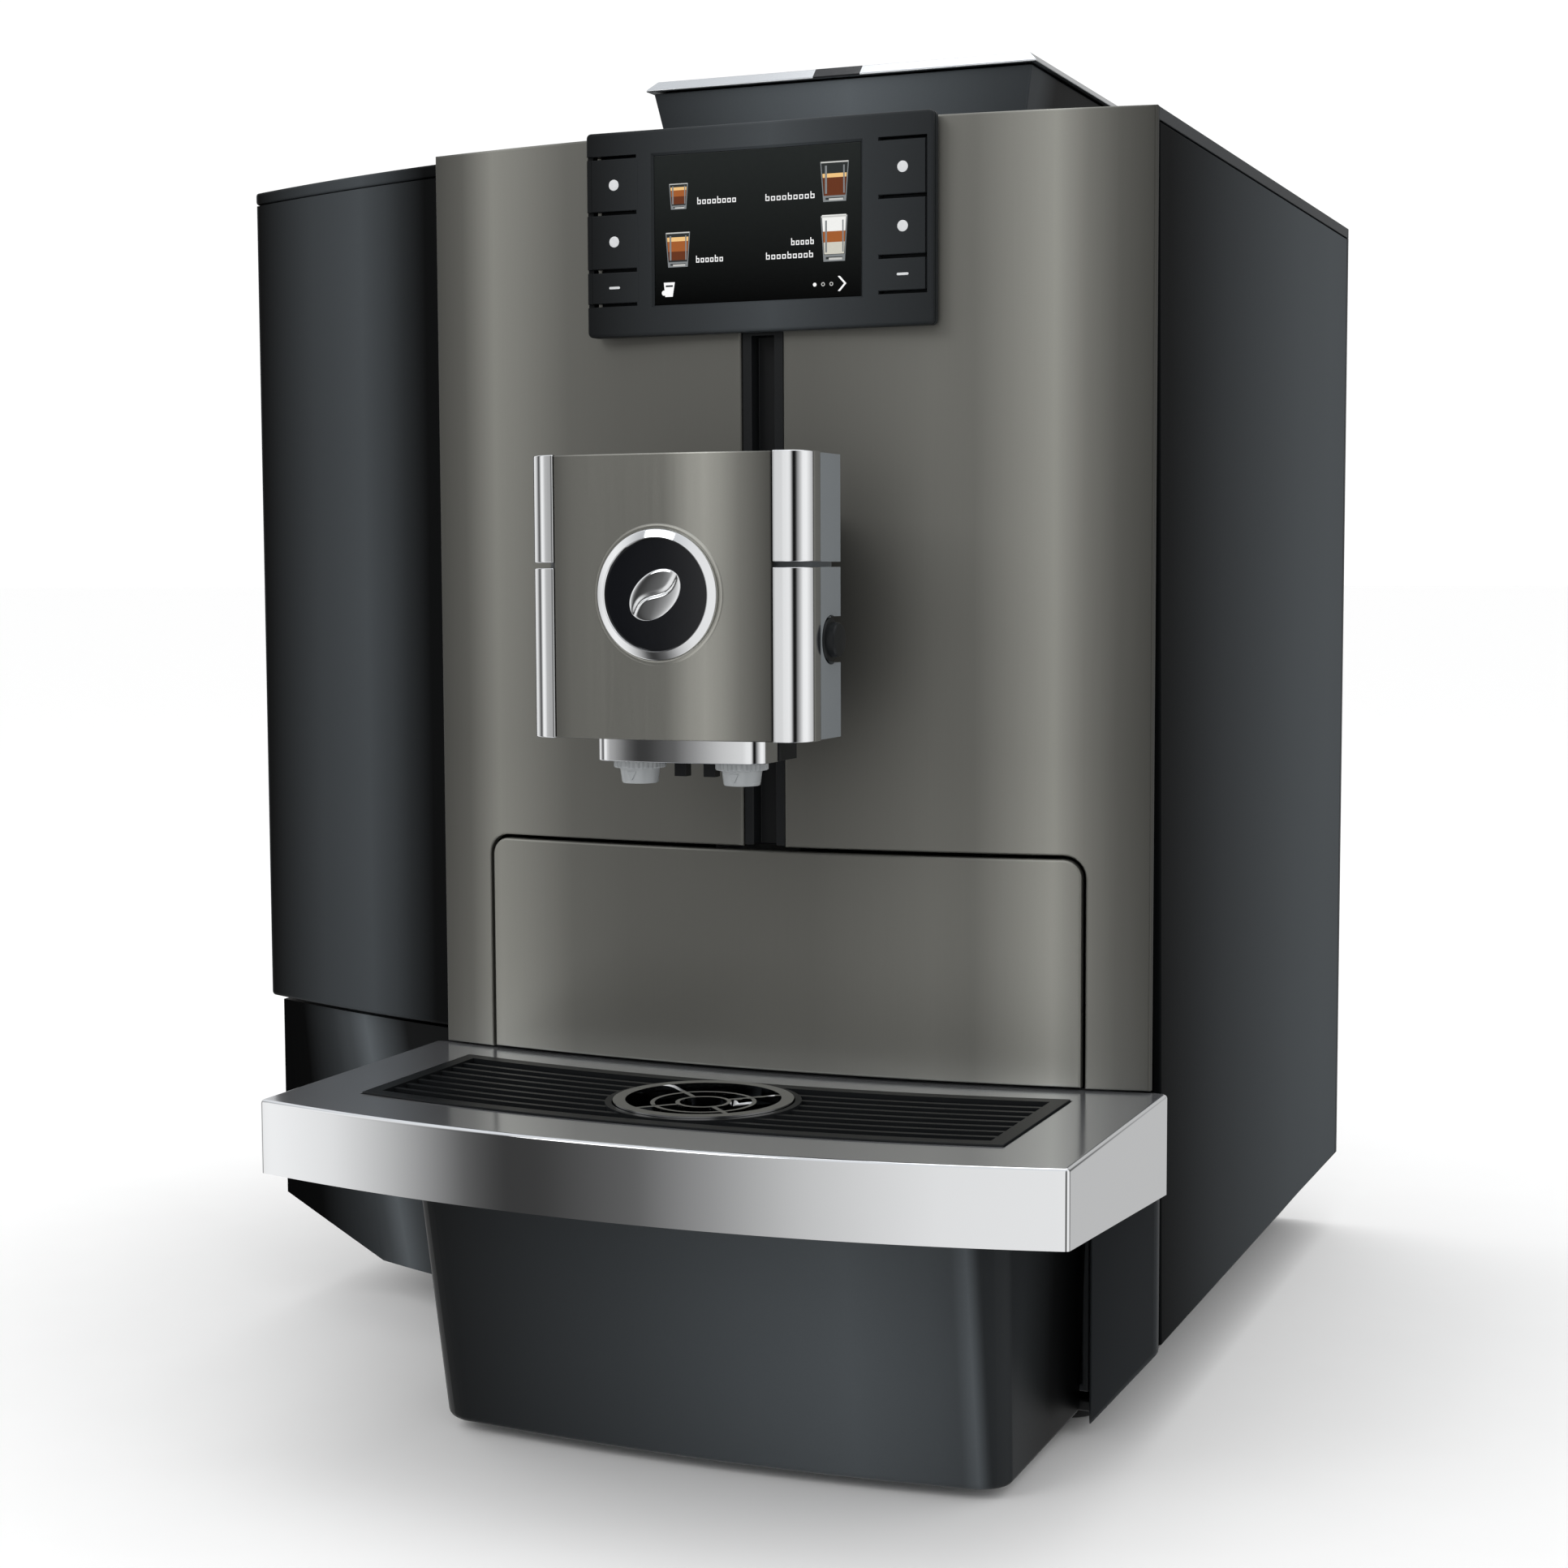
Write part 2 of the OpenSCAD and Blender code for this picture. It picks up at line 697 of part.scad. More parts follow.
module spout_carriage() {
    z0 = spout_z - chin_h + 0.6;
    y0 = spout_y0 + 12;
    color(deep_black) difference() {
        union() {
            chin_shape(1.3, y0, z0, spout_z + 6.8);
            block([front_x - 34, spout_y0 + 9.8, spout_z + 7.2],
                [front_x + 34, spout_y1 + 2, spout_top - 6.2]);
            block([front_x - 29, spout_y1 - 5.7, z0 - 0.4], [front_x + 29, spout_y1 + 8, spout_z + 8]);
            block([front_x - 22, spout_y1 + 1, spout_z + 2], [front_x + 22, panel_y - 14, neck_top]);
            block([front_x - 12, panel_y - 15, spout_z + 6], [front_x + 12, panel_y - 1.2, neck_top - 6]);
            block([front_x - 3.6, panel_y - 2, spout_z + 6], [front_x + 3.6, panel_y + 6.5, neck_top - 6]);
            for (s = [-1, 1]) block([front_x + s * 5 - 2, outlet_y + 3, z0 - 6],
                [front_x + s * 5 + 2, outlet_y + 7, z0 + 1]);
        }
        for (s = [-1, 1]) translate([front_x + s * outlet_gap / 2, outlet_y, z0 - 7])
            cylinder(r = 5.05, h = 10);
    }
}

module outlet_nozzle(side) {
    z1 = spout_z - chin_h + 0.2;
    color(clear_grey) translate([front_x + side * outlet_gap / 2, outlet_y, 0]) difference() {
        union() {
            translate([0, 0, z1]) cylinder(r = 5, h = 3);
            translate([0, 0, z1 - 2.8]) cylinder(r = 8.3, h = 2.8);
            translate([0, 0, z1 - 7.6]) cylinder(r1 = 5.6, r2 = 6.4, h = 5);
        }
        translate([0, 0, z1 - 9]) cylinder(r = 3.2, h = 14);
        block([-0.4, -9, z1 - 8], [0.4, -4, z1 - 6.2]);
    }
}

module nozzle_left() { outlet_nozzle(-1); }
module nozzle_right() { outlet_nozzle(1); }

module milk_port_cap() {
    x = front_x + spout_hw;
    color(deep_black) {
        rod_x(x - 2.8, x + 3.2, cap_y, cap_z, 6.8);
        rod_x(x - 11, x - 2.6, cap_y, cap_z, 5);
    }
}

// ---- Water tank ----

// Plan of the tank drawn in by inset: bowed front, straight sides, one rounded outer corner
module tank_plan(inset) {
    x0 = tank_x0 + inset;
    x1 = tank_x1 - inset;
    intersection() {
        translate(tank_bow) circle(r = tank_bow_r - inset, $fn = fn_bow);
        translate([x0, -150]) square([x1 - x0, tank_rear_y - inset + 150]);
    }
}

module tank_shape(inset, z0, z1) {
    translate([0, 0, z0]) linear_extrude(z1 - z0) tank_plan(inset);
}

module water_tank() {
    color(satin_black) {
        difference() {
            tank_shape(0, tank_z + 1, body_h - 5);
            tank_shape(tank_wall, tank_z + 5, body_h);
            translate([valve[0], valve[1], tank_z - 1]) cylinder(r = valve_r, h = 8);
        }
        translate([valve[0], valve[1], tank_z - 4]) difference() {
            cylinder(r = valve_r + 3, h = 14);
            translate([0, 0, -1]) cylinder(r = valve_r, h = 16);
        }
    }
}

module tank_lid() {
    color(satin_black) difference() {
        union() {
            tank_shape(0, body_h - 4.6, body_h);
            tank_shape(tank_wall + 0.6, body_h - 9, body_h - 4);
            rod_x(tank_x0 + 20, tank_x1 - 20, tank_rear_y, body_h - 2, 2);
        }
        tank_shape(tank_wall + 2.6, body_h - 10, body_h - 3);
    }
}

module tank_dock() {
    color(satin_black) difference() {
        dock_form(0);
        dock_form(wall);
        translate([valve[0], valve[1], tank_z - 12]) cylinder(r = valve_r + 3.4, h = 20);
    }
}

module dock_form(inset) {
    top = tank_z - dock_gap - inset;
    x0 = tank_x0 + dock_inset + inset;
    x1 = tank_x1 - inset;
    low = inset > 0 ? dock_low_z - 1 : dock_low_z;
    edge_r = tank_bow_r - 5 - inset;
    intersection() {
        translate([0, tank_rear_y - inset, 0]) rotate([90, 0, 0]) linear_extrude(tank_rear_y + 150)
            polygon([[x0, top], [x0, dock_edge_z], [x0 + dock_chamfer, low], [x1, low], [x1, top]]);
        union() {
            translate([tank_bow[0], tank_bow[1], dock_edge_z]) cylinder(r = edge_r, h = 100, $fn = fn_bow);
            translate([tank_bow[0], tank_bow[1], low])
                cylinder(r1 = edge_r - dock_edge_z + low, r2 = edge_r, h = dock_edge_z - low, $fn = fn_bow);
        }
    }
}

// ---- Beans and grinder ----

// Square funnel drawn in by inset, between two levels
module funnel(inset, z0, z1) {
    slope = 0.19;
    hx = lid_w / 2 - 2 - inset;
    hy = lid_d / 2 - 2 - inset;
    knee = 395;
    drop = (lid_z - knee) * slope;
    intersection() {
        translate([hopper_x, hopper_mid_y + 100, 0]) rotate([90, 0, 0]) linear_extrude(200)
            polygon([[-hx, lid_z], [-hx + drop, knee], [-26 + inset, throat_z], [-26 + inset, z0],
                     [26 - inset, z0], [26 - inset, throat_z], [hx - drop, knee], [hx, lid_z],
                     [hx, z1], [-hx, z1]]);
        translate([hopper_x - 100, hopper_mid_y, 0]) rotate([90, 0, 90]) linear_extrude(200)
            polygon([[-hy, lid_z], [-hy + drop, knee], [-26 + inset, throat_z], [-26 + inset, z0],
                     [26 - inset, z0], [26 - inset, throat_z], [hy - drop, knee], [hy, lid_z],
                     [hy, z1], [-hy, z1]]);
    }
}

module bean_hopper() {
    color(deep_black) difference() {
        funnel(0, grinder_z1, lid_z - 0.4);
        funnel(2.2, throat_z, lid_z + 5);
        translate([hopper_x, hopper_mid_y, throat_z - 10]) cylinder(r = throat_r, h = 40);
    }
}

module bean_lid() {
    x0 = hopper_x - lid_w / 2 + 5;
    x1 = hopper_x + lid_w / 2 - 5;
    y0 = hopper_y0 + 5;
    y1 = hopper_y0 + lid_d - 5;
    color(satin_black) difference() {
        union() {
            block([x0, y0, lid_z], [x1, y1, machine_h - 0.6]);
            block([x0 + 1, y0 + 1, lid_z - 9], [x1 - 1, y1 - 1, lid_z + 0.1]);
        }
        block([x0 + 3, y0 + 3, lid_z - 10], [x1 - 3, y1 - 3, lid_z + 1.4]);
    }
}

module lid_rim() {
    x0 = hopper_x - lid_w / 2;
    x1 = hopper_x + lid_w / 2;
    y0 = hopper_y0;
    y1 = hopper_y0 + lid_d;
    color(bright_metal) difference() {
        block([x0, y0, lid_z], [x1, y1, machine_h]);
        block([x0 + 5, y0 + 5, lid_z - 1], [x1 - 5, y1 - 5, machine_h + 1]);
        block([hopper_x - 10, y0 - 1, lid_z - 1], [hopper_x + 10, y0 + 2.5, machine_h - 1.5]);
    }
}

module grinder_housing() {
    color(grey_plastic) translate([grinder[0], grinder[1], 0]) difference() {
        union() {
            translate([0, 0, grinder_z0]) cylinder(r = 36, h = grinder_z1 - grinder_z0);
            block([20, -12, grinder_z0], [62, 12, grinder_z0 + 24]);
        }
        translate([0, 0, grinder_z0 + 4]) cylinder(r = 32, h = 80);
        translate([0, 0, grinder_z0 - 1]) cylinder(r = 5.5, h = 10);
        block([30, -9, grinder_z0 + 4], [63, 9, grinder_z0 + 21]);
    }
}

module grinding_burr() {
    color(bright_metal) translate([grinder[0], grinder[1], 0]) {
        difference() {
            union() {
                translate([0, 0, grinder_z0 + 8]) cylinder(r = 27, h = 8);
                for (i = [0:11]) rotate([0, 0, i * 30]) block([13, -1, grinder_z0 + 15],
                    [26, 1, grinder_z0 + 18]);
            }
            translate([0, 0, grinder_z0 + 12]) cylinder(r = 12, h = 10);
        }
        translate([0, 0, 258.4]) cylinder(r = 5, h = grinder_z0 - 248);
    }
}

module grind_knob() {
    color(satin_black) translate([grinder[0], grinder[1], 0]) difference() {
        union() {
            translate([0, 0, grinder_z0 + 20]) cylinder(r = 27, h = 8);
            translate([0, 0, grinder_z0 + 27]) cylinder(r = 18, h = 62);
            translate([0, 0, 343]) cylinder(r = 24, h = 8);
            for (i = [0:11]) rotate([0, 0, i * 30]) translate([24, 0, 343]) cylinder(r = 1.6, h = 8);
        }
        translate([0, 0, grinder_z0 + 19]) cylinder(r = 14, h = 110);
    }
}

module grinder_motor() {
    color(dark_steel) translate([grinder[0], grinder[1], 0]) difference() {
        union() {
            translate([0, 0, shelf_z + 2]) cylinder(r = 31, h = 48);
            for (a = [45:90:359]) rotate([0, 0, a]) translate([34, 0, shelf_z + 2]) cylinder(r = 5, h = 55);
            translate([0, 0, 255]) cylinder(r = 34, h = 3);
            for (a = [45:90:359]) rotate([0, 0, a]) translate([31, 0, 255]) cylinder(r = 4, h = 7);
        }
        translate([0, 0, 250]) cylinder(r = 8, h = 12);
    }
}

module powder_lid() {
    color(satin_black) {
        block([126, -18, body_h - 1.7], [168, 38.5, body_h + 0.3]);
        block([129.6, -13.4, top_z - 1], [164.4, -11, body_h - 1.6]);
        rod_x(130, 164, 38, body_h - 0.9, 0.9);
    }
}

// ---- Brewing ----

module brew_frame() {
    x0 = brew[0] - brew_half;
    x1 = brew[0] + brew_half;
    y0 = brew[1] - brew_half;
    y1 = brew[1] + brew_half;
    color(grey_plastic) difference() {
        union() {
            for (z = brew_plates) block([x0, y0, z], [x1, y1, z + brew_plate_t]);
            for (x = [x0, x1 - 5], y = [y0, y1 - 8]) block([x, y, brew_foot_z], [x + 5, y + 8, brew_top]);
        }
        for (hole = [[brew_plates[0], 8.05], [brew_plates[1], brew_bore_r + 3], [brew_plates[2], 12]])
            translate([brew[0], brew[1], hole[0] - 1]) cylinder(r = hole[1], h = brew_plate_t + 2);
    }
}

module brew_cylinder() {
    color(clear_grey) translate([brew[0], brew[1], 0]) difference() {
        union() {
            translate([0, 0, brew_seat_z]) cylinder(r = brew_bore_r + 7, h = 3);
            translate([0, 0, chamber_z]) cylinder(r = brew_bore_r + 2.9, h = chamber_h);
        }
        translate([0, 0, chamber_z - 1]) cylinder(r = brew_bore_r, h = chamber_h + 2);
    }
}

module brew_piston() {
    color(deep_black) translate([brew[0], brew[1], 0]) difference() {
        union() {
            translate([0, 0, 112]) cylinder(r = brew_bore_r - brew_fit, h = 14);
            translate([0, 0, 76]) cylinder(r = 9, h = 37);
        }
        translate([0, 0, 75]) cylinder(r = shank_r + brew_fit, h = 45);
    }
}

module brew_screw() {
    color(bright_metal) translate([brew[0], brew[1], 0]) {
        translate([0, 0, 29.4]) cylinder(r = 8, h = 12);
        translate([0, 0, 41]) difference() {
            cylinder(r = 20, h = 6);
            for (a = [0:60:359]) rotate([0, 0, a]) translate([13, 0, -1]) cylinder(r = 3.5, h = 8);
        }
        translate([0, 0, 46]) cylinder(r = shank_r, h = 62);
    }
}

module brew_motor() {
    x = brew[0];
    y = brew[1];
    color(dark_steel) {
        block([x - 30, y - 24, 9], [x + 24, y + 24, 29]);
        rod_x(x - 78, x - 29, y, 19, 10);
        rod_x(x - 82, x - 77, y, 19, 4);
        block([x - 60, y - 10, underside_h + 4], [x - 40, y + 10, 14]);
    }
}

module water_pump() {
    color(dark_steel) {
        rod_y(-42, 150, 200, 70, 19);
        rod_y(-42, 140, 151, 70, 8);
        rod_y(-42, 199, 212, 70, 6);
        block([-62, 158, 44], [-22, 192, 58]);
        block([-50, 165, underside_h + 4], [-34, 185, 45]);
    }
}

module flow_meter() {
    color(grey_plastic) {
        translate([-42, 120, 60]) cylinder(r = 13, h = 18);
        translate([-42, 120, underside_h + 4]) cylinder(r = 5, h = 53);
        rod_y(-42, 105, 134, 69, 4);
    }
}

module thermoblock() {
    color(bright_metal) difference() {
        union() {
            block([-62, 66, 86], [-8, 98, 190]);
            for (i = [0:7], x = [-65, -9]) block([x, 68, 92 + i * 12], [x + 4, 96, 96 + i * 12]);
            rod_y(-35, 92, 108, 176, 4);
            rod_y(-35, 92, 108, 100, 4);
            for (x = [-50, -20]) block([x, 76, underside_h + 4], [x + 6, 88, 87]);
        }
        rod_y(-35, 80, 110, 176, 2);
        rod_y(-35, 80, 110, 100, 2);
    }
}

module circuit_boards() {
    color(board_green) {
        block([front_x - 52, -84, 375], [front_x + 52, -82.4, 425]);
        for (i = [0:3]) block([front_x - 44 + i * 24, -82.5, 385], [front_x - 30 + i * 24, -78, 399]);
        block([-40, 196, 220], [60, 197.6, 290]);
        for (x = [-32, 52], z = [226, 284]) rod_y(x, 197, rear_y - wall, z, 3);
        for (x = [front_x - 44, front_x + 44]) rod_y(x, display_y + 16, -83, 405, 3);
        for (i = [0:3]) block([-34 + i * 24, 184, 230], [-20 + i * 24, 196.1, 250]);
        block([-34, 180, 262], [-4, 196.1, 284]);
    }
}

// A hose made of straight runs with round joints, inside the housing
module hose(points, r) {
    for (i = [0:len(points) - 2]) {
        a = points[i];
        b = points[i + 1];
        d = b - a;
        length = norm(d);
        translate(a) rotate([0, acos(d[2] / length), atan2(d[1],
            d[0])]) cylinder(r = r, h = length, $fn = 24);
        if (i > 0) translate(a) sphere(r = r + 0.8, $fn = 24);
    }
}

module water_hoses() {
    color(clear_grey) {
        hose([[-42, 134.1, 69], [-42, 139.9, 69]], 3.2);
        hose([[-35, 108.1, 176], [-35, 118, 176], [-35, 118, 190.5], [66.9, 118, 190.5]], 2.4);
        hose([[-35, 108.1, 100], [-35, 120, 100], [-42, 120, 100], [-42, 120, 78.1]], 3.2);
    }
}

module mains_inlet() {
    x0 = 115.4;
    x1 = 142.6;
    color(deep_black) {
        difference() {
            union() {
                block([x0, rear_y - 20, 60.4], [x1, rear_y - 0.4, 80.6]);
                block([x0 - 3, rear_y - 6, 57.4], [x1 + 3, rear_y - wall - 0.1, 83.6]);
            }
            block([x0 + 2, rear_y - 17, 62.4], [x1 - 2, rear_y + 1, 78.6]);
        }
        for (p = [[-7, 67], [0, 73], [7, 67]])
            block([129 + p[0] - 1, rear_y - 17.5, p[1] - 2], [129 + p[0] + 1, rear_y - 7, p[1] + 2]);
    }
}

module power_rocker() {
    color(deep_black) {
        translate([150.4, rear_y - 2.6, 70.5]) rotate([0, 90, 0]) linear_extrude(13.2)
            polygon([[-9.6, 1.0], [0, 2.4], [9.6, 0.2], [9.6, -1.2], [-9.6, -1.2]]);
        rod_x(150.4, 163.6, rear_y - 4.6, 70.5, 4);
    }
}

base_plate();
chassis_frame();
rear_cover();
right_side_panel();
left_side_panel();
top_cover();
front_panel();
rail_strip();
lower_cheeks();
tank_dock();
display_housing();
display_screen();
feet();
bean_hopper();
grinder_housing();
grinder_motor();
brew_frame();
brew_cylinder();
brew_motor();
water_pump();
thermoblock();
flow_meter();
circuit_boards();
water_hoses();
mains_inlet();
housing_screws();
tray_rim();
drip_tray();
grounds_container();
drawer_front();
drip_grille();
grille_ring();
spout_carriage();
spout_body();
spout_trim_upper();
spout_trim_lower();
spout_chin();
spout_cover();
badge_ring();
badge_disc();
nozzle_left();
nozzle_right();
milk_port_cap();
water_tank();
tank_lid();
bean_lid();
lid_rim();
grind_knob();
grinding_burr();
powder_lid();
key_left_1();
key_left_2();
key_left_3();
key_right_1();
key_right_2();
key_right_3();
power_key();
power_rocker();
brew_piston();
brew_screw();
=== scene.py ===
import math

import bmesh
import bpy
from mathutils import Matrix, Vector


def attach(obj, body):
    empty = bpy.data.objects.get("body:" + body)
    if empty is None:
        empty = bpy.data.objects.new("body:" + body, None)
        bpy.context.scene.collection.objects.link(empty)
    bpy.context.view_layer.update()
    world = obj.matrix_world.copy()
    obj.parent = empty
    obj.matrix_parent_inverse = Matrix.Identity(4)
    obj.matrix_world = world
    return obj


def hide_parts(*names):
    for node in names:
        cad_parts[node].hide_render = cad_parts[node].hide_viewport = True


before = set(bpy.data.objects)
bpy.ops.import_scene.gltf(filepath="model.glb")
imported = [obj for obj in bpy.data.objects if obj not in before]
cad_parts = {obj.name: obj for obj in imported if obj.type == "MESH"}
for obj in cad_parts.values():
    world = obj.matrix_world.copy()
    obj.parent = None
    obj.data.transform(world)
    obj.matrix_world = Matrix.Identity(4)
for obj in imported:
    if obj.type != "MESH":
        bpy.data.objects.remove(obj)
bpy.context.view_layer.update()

# Bench sizes are in millimetres and turned into metres when a piece is finished.
MM = 0.001
FRONT_X = 51.5                       # middle of the panel, tray, display and spout
PANEL_R, PANEL_CY = 660.0, 546.0     # bow of the front panel
PANEL_Y = PANEL_CY - PANEL_R         # foremost line of the front panel
PANEL_LOW = 121.1
TRAY_R, TRAY_CY = 525.0, 294.0       # bow of the drip tray
TRAY_TOP = 120.5
TANK_BOW = (89.0, 550.0, 660.0)      # centre x, centre y and radius of the tank's bow
TANK_X, TANK_REAR = (-186.5, -83.0), 205.0
TANK_VALVE = (-120.0, 120.0)
BODY_X = (-78.0, 181.0)
BODY_TOP = 435.0
REAR_Y = 231.0
LID_X, LID_Y = (-31.25, 118.75), (-26.0, 134.0)
LID_TOP = 470.0


# ---- Finishes ----

class Wire:
    """A node's output that can be used in a sum."""

    def __init__(self, owner, socket):
        self.owner, self.socket = owner, socket

    def _sum(self, operation, first, second):
        return self.owner.node("ShaderNodeMath", {"operation": operation}, {0: first, 1: second})

    def __add__(self, other):
        return self._sum("ADD", self, other)

    __radd__ = __add__

    def __mul__(self, other):
        return self._sum("MULTIPLY", self, other)

    __rmul__ = __mul__

    def __sub__(self, other):
        return self._sum("SUBTRACT", self, other)

    def __rsub__(self, other):
        return self._sum("SUBTRACT", other, self)


class Nodes:
    """The nodes of a finish or of the room, and the one way that nodes are added."""

    def __init__(self, tree):
        self.tree = tree

    def node(self, kind, settings=None, sockets=None, out=0):
        """A new node: its settings first, then the values or wires of its sockets."""
        made = self.tree.nodes.new(kind)
        for key, value in (settings or {}).items():
            if key == "stops":
                ramp = made.color_ramp.elements
                while len(ramp) < len(value):
                    ramp.new(0.5)
                for element, (place, tone) in zip(ramp, value):
                    element.position = place
                    element.color = (tone, tone, tone, 1.0)
            else:
                setattr(made, key, value)
        for key, value in (sockets or {}).items():
            if isinstance(value, Wire):
                self.tree.links.new(value.socket, made.inputs[key])
            else:
                made.inputs[key].default_value = value
        return Wire(self, made.outputs[out])


class Finish(Nodes):
    """One material: its Principled shader and the nodes that feed it."""

    def __init__(self, name, **constants):
        self.material = bpy.data.materials.new(name)
        self.material.use_nodes = True
        super().__init__(self.material.node_tree)
        self.shader = self.tree.nodes["Principled BSDF"]
        self.feed(**constants)

    def feed(self, **sockets):
        """Sets or links the shader's sockets; an underscore stands for a space."""
        for key, value in sockets.items():
            socket = self.shader.inputs[key.replace("_", " ")]
            if isinstance(value, Wire):
                self.tree.links.new(value.socket, socket)
            else:
                socket.default_value = (*value, 1.0) if isinstance(value, tuple) else value

    def place(self, stretch=(1.0, 1.0, 1.0)):
        """Object coordinates, drawn out along an axis for brushed or moulded flow."""
        where = self.node("ShaderNodeTexCoord", out="Object")
        if stretch == (1.0, 1.0, 1.0):
            return where
        return self.node("ShaderNodeMapping", {}, {"Vector": where, "Scale": stretch})

    def noise(self, scale, detail=2.0, stretch=(1.0, 1.0, 1.0)):
        """A fine cloud pattern fixed to the piece."""
        return self.node("ShaderNodeTexNoise", {}, {
            "Vector": self.place(stretch), "Scale": scale, "Detail": detail})

    def blend(self, dark, light, amount):
        """Two colours mixed by an amount that changes over the surface."""
        return self.node("ShaderNodeMix", {"data_type": "RGBA"}, {
            "Factor": amount, 6: (*dark, 1.0), 7: (*light, 1.0)}, out=2)

    def painted_light_and_shade(self, colour, painted_bands):
        """Painted highlights and shade: the colour made lighter and darker along the piece's axes by
        (millimetres, strength) stops.
        """
        for axis, stops in painted_bands:
            low, high = stops[0][0], stops[-1][0]
            along = self.node("ShaderNodeSeparateXYZ", {}, {"Vector": self.place()}, "XYZ".index(axis))
            strength = self.node("ShaderNodeValToRGB", {
                "stops": [((mm - low) / (high - low), value) for mm, value in stops]},
                {"Fac": along * (1000.0 / (high - low)) + -low / (high - low)})
            colour = self.node("ShaderNodeMix", {"data_type": "RGBA", "blend_type": "MULTIPLY"}, {
                "Factor": 1.0, 6: colour, 7: strength}, out=2)
        return colour

    def relief(self, height, strength, depth):
        """A fine surface relief of that depth in metres."""
        self.feed(Normal=self.node("ShaderNodeBump", {}, {
            "Height": height, "Strength": strength, "Distance": depth}))


def shade(colour, factor):
    """The colour made darker or lighter, never past white."""
    return tuple(min(1.0, c * factor) for c in colour)


def moulded(name, colour, roughness, grain=1800.0, depth=0.00002, specular=0.25, painted_bands=(), **constants):
    """Moulded plastic: spark-eroded grain, a slow drift in gloss and colour, and painted highlight and shade
    bands where they are given.
    """
    made = Finish(name, Specular_IOR_Level=specular, **constants)
    drift = made.noise(7.0, 3.0)
    speck = made.noise(grain, 2.0)
    tone = made.blend(shade(colour, 0.86), shade(colour, 1.14), drift * 0.6 + speck * 0.4)
    made.feed(Base_Color=made.painted_light_and_shade(tone, painted_bands),
              Roughness=roughness + (drift - 0.5) * 0.10 + (speck - 0.5) * 0.08)
    made.relief(speck, 0.35, depth)
    return made.material


def lacquered_metal(name, colour, roughness, painted_bands=()):
    """Satin lacquered metal: fine flake, faint orange peel, a slight upright brush, and painted highlight and
    shade bands where they are given.
    """
    made = Finish(name, Metallic=0.92, Specular_IOR_Level=0.5)
    flake = made.noise(5200.0, 1.0)
    peel = made.noise(420.0, 2.0)
    brush = made.noise(900.0, 2.0, (1.0, 1.0, 0.03))
    drift = made.noise(6.0, 2.0)
    tone = made.blend(shade(colour, 0.9), shade(colour, 1.1), flake * 0.7 + drift * 0.3)
    made.feed(Base_Color=made.painted_light_and_shade(tone, painted_bands),
              Roughness=roughness + (flake - 0.5) * 0.10 + (brush - 0.5) * 0.06)
    made.relief(peel * 0.6 + brush * 0.4, 0.15, 0.00002)
    return made.material


def plated(name, colour, roughness, metallic=1.0):
    """Bright plated metal: clean, with handling haze and hair-fine wipe marks."""
    made = Finish(name, Metallic=metallic)
    haze = made.noise(22.0, 4.0)
    wipe = made.noise(1500.0, 2.0, (0.04, 1.0, 1.0))
    made.feed(Base_Color=made.blend(shade(colour, 0.96), colour, haze),
              Roughness=roughness + haze * 0.03 + (wipe - 0.5) * 0.02)
    made.relief(haze, 0.05, 0.00004)
    return made.material


def bare_metal(name, colour, roughness, grain=900.0, depth=0.00004):
    """Rolled or cast metal inside the housing: spangle, dull patches."""
    made = Finish(name, Metallic=1.0)
    spangle = made.node("ShaderNodeTexVoronoi", {}, {"Vector": made.place(), "Scale": 160.0}, out="Color")
    tone = made.node("ShaderNodeSeparateColor", {}, {"Color": spangle})
    pit = made.noise(grain, 3.0)
    made.feed(Base_Color=made.blend(shade(colour, 0.75), shade(colour, 1.1), tone * 0.5 + pit * 0.5),
              Roughness=roughness + (tone - 0.5) * 0.12 + (pit - 0.5) * 0.15)
    made.relief(pit, 0.4, depth)
    return made.material


def clear_plastic(name, colour, roughness, alpha):
    """See-through moulded plastic with a faint milky cloud."""
    made = Finish(name, Alpha=alpha, IOR=1.49)
    cloud = made.noise(60.0, 2.0)
    made.feed(Base_Color=made.blend(shade(colour, 0.9), colour, cloud), Roughness=roughness + cloud * 0.06)
    made.relief(cloud, 0.1, 0.0001)
    return made.material


def circuit_board(name):
    """Solder mask with copper tracks showing through and tinned pads."""
    made = Finish(name, Specular_IOR_Level=0.5)
    track = made.node("ShaderNodeTexBrick", {"offset": 0.4}, {
        "Vector": made.place(), "Scale": 130.0, "Mortar Size": 0.02,
        "Color1": (0.0, 0.0, 0.0, 1.0), "Color2": (0.25, 0.25, 0.25, 1.0), "Mortar": (1.0, 1.0, 1.0, 1.0)},
        out="Fac")
    pad = made.noise(300.0, 1.0)
    made.feed(Base_Color=made.blend((0.01, 0.10, 0.045), (0.05, 0.26, 0.10), track * 0.7 + pad * 0.3),
              Roughness=0.32 + pad * 0.2)
    made.relief(track, 0.3, 0.0001)
    return made.material


def lit(name, colour, strength):
    """A picture on the screen: its own light, hardly any gloss."""
    made = Finish(name, Specular_IOR_Level=0.2, Roughness=0.5, Emission_Strength=strength)
    dots = made.noise(2500.0, 0.0)
    tint = made.blend(shade(colour, 0.93), colour, dots)
    made.feed(Base_Color=shade(colour, 0.2), Emission_Color=tint)
    return made.material


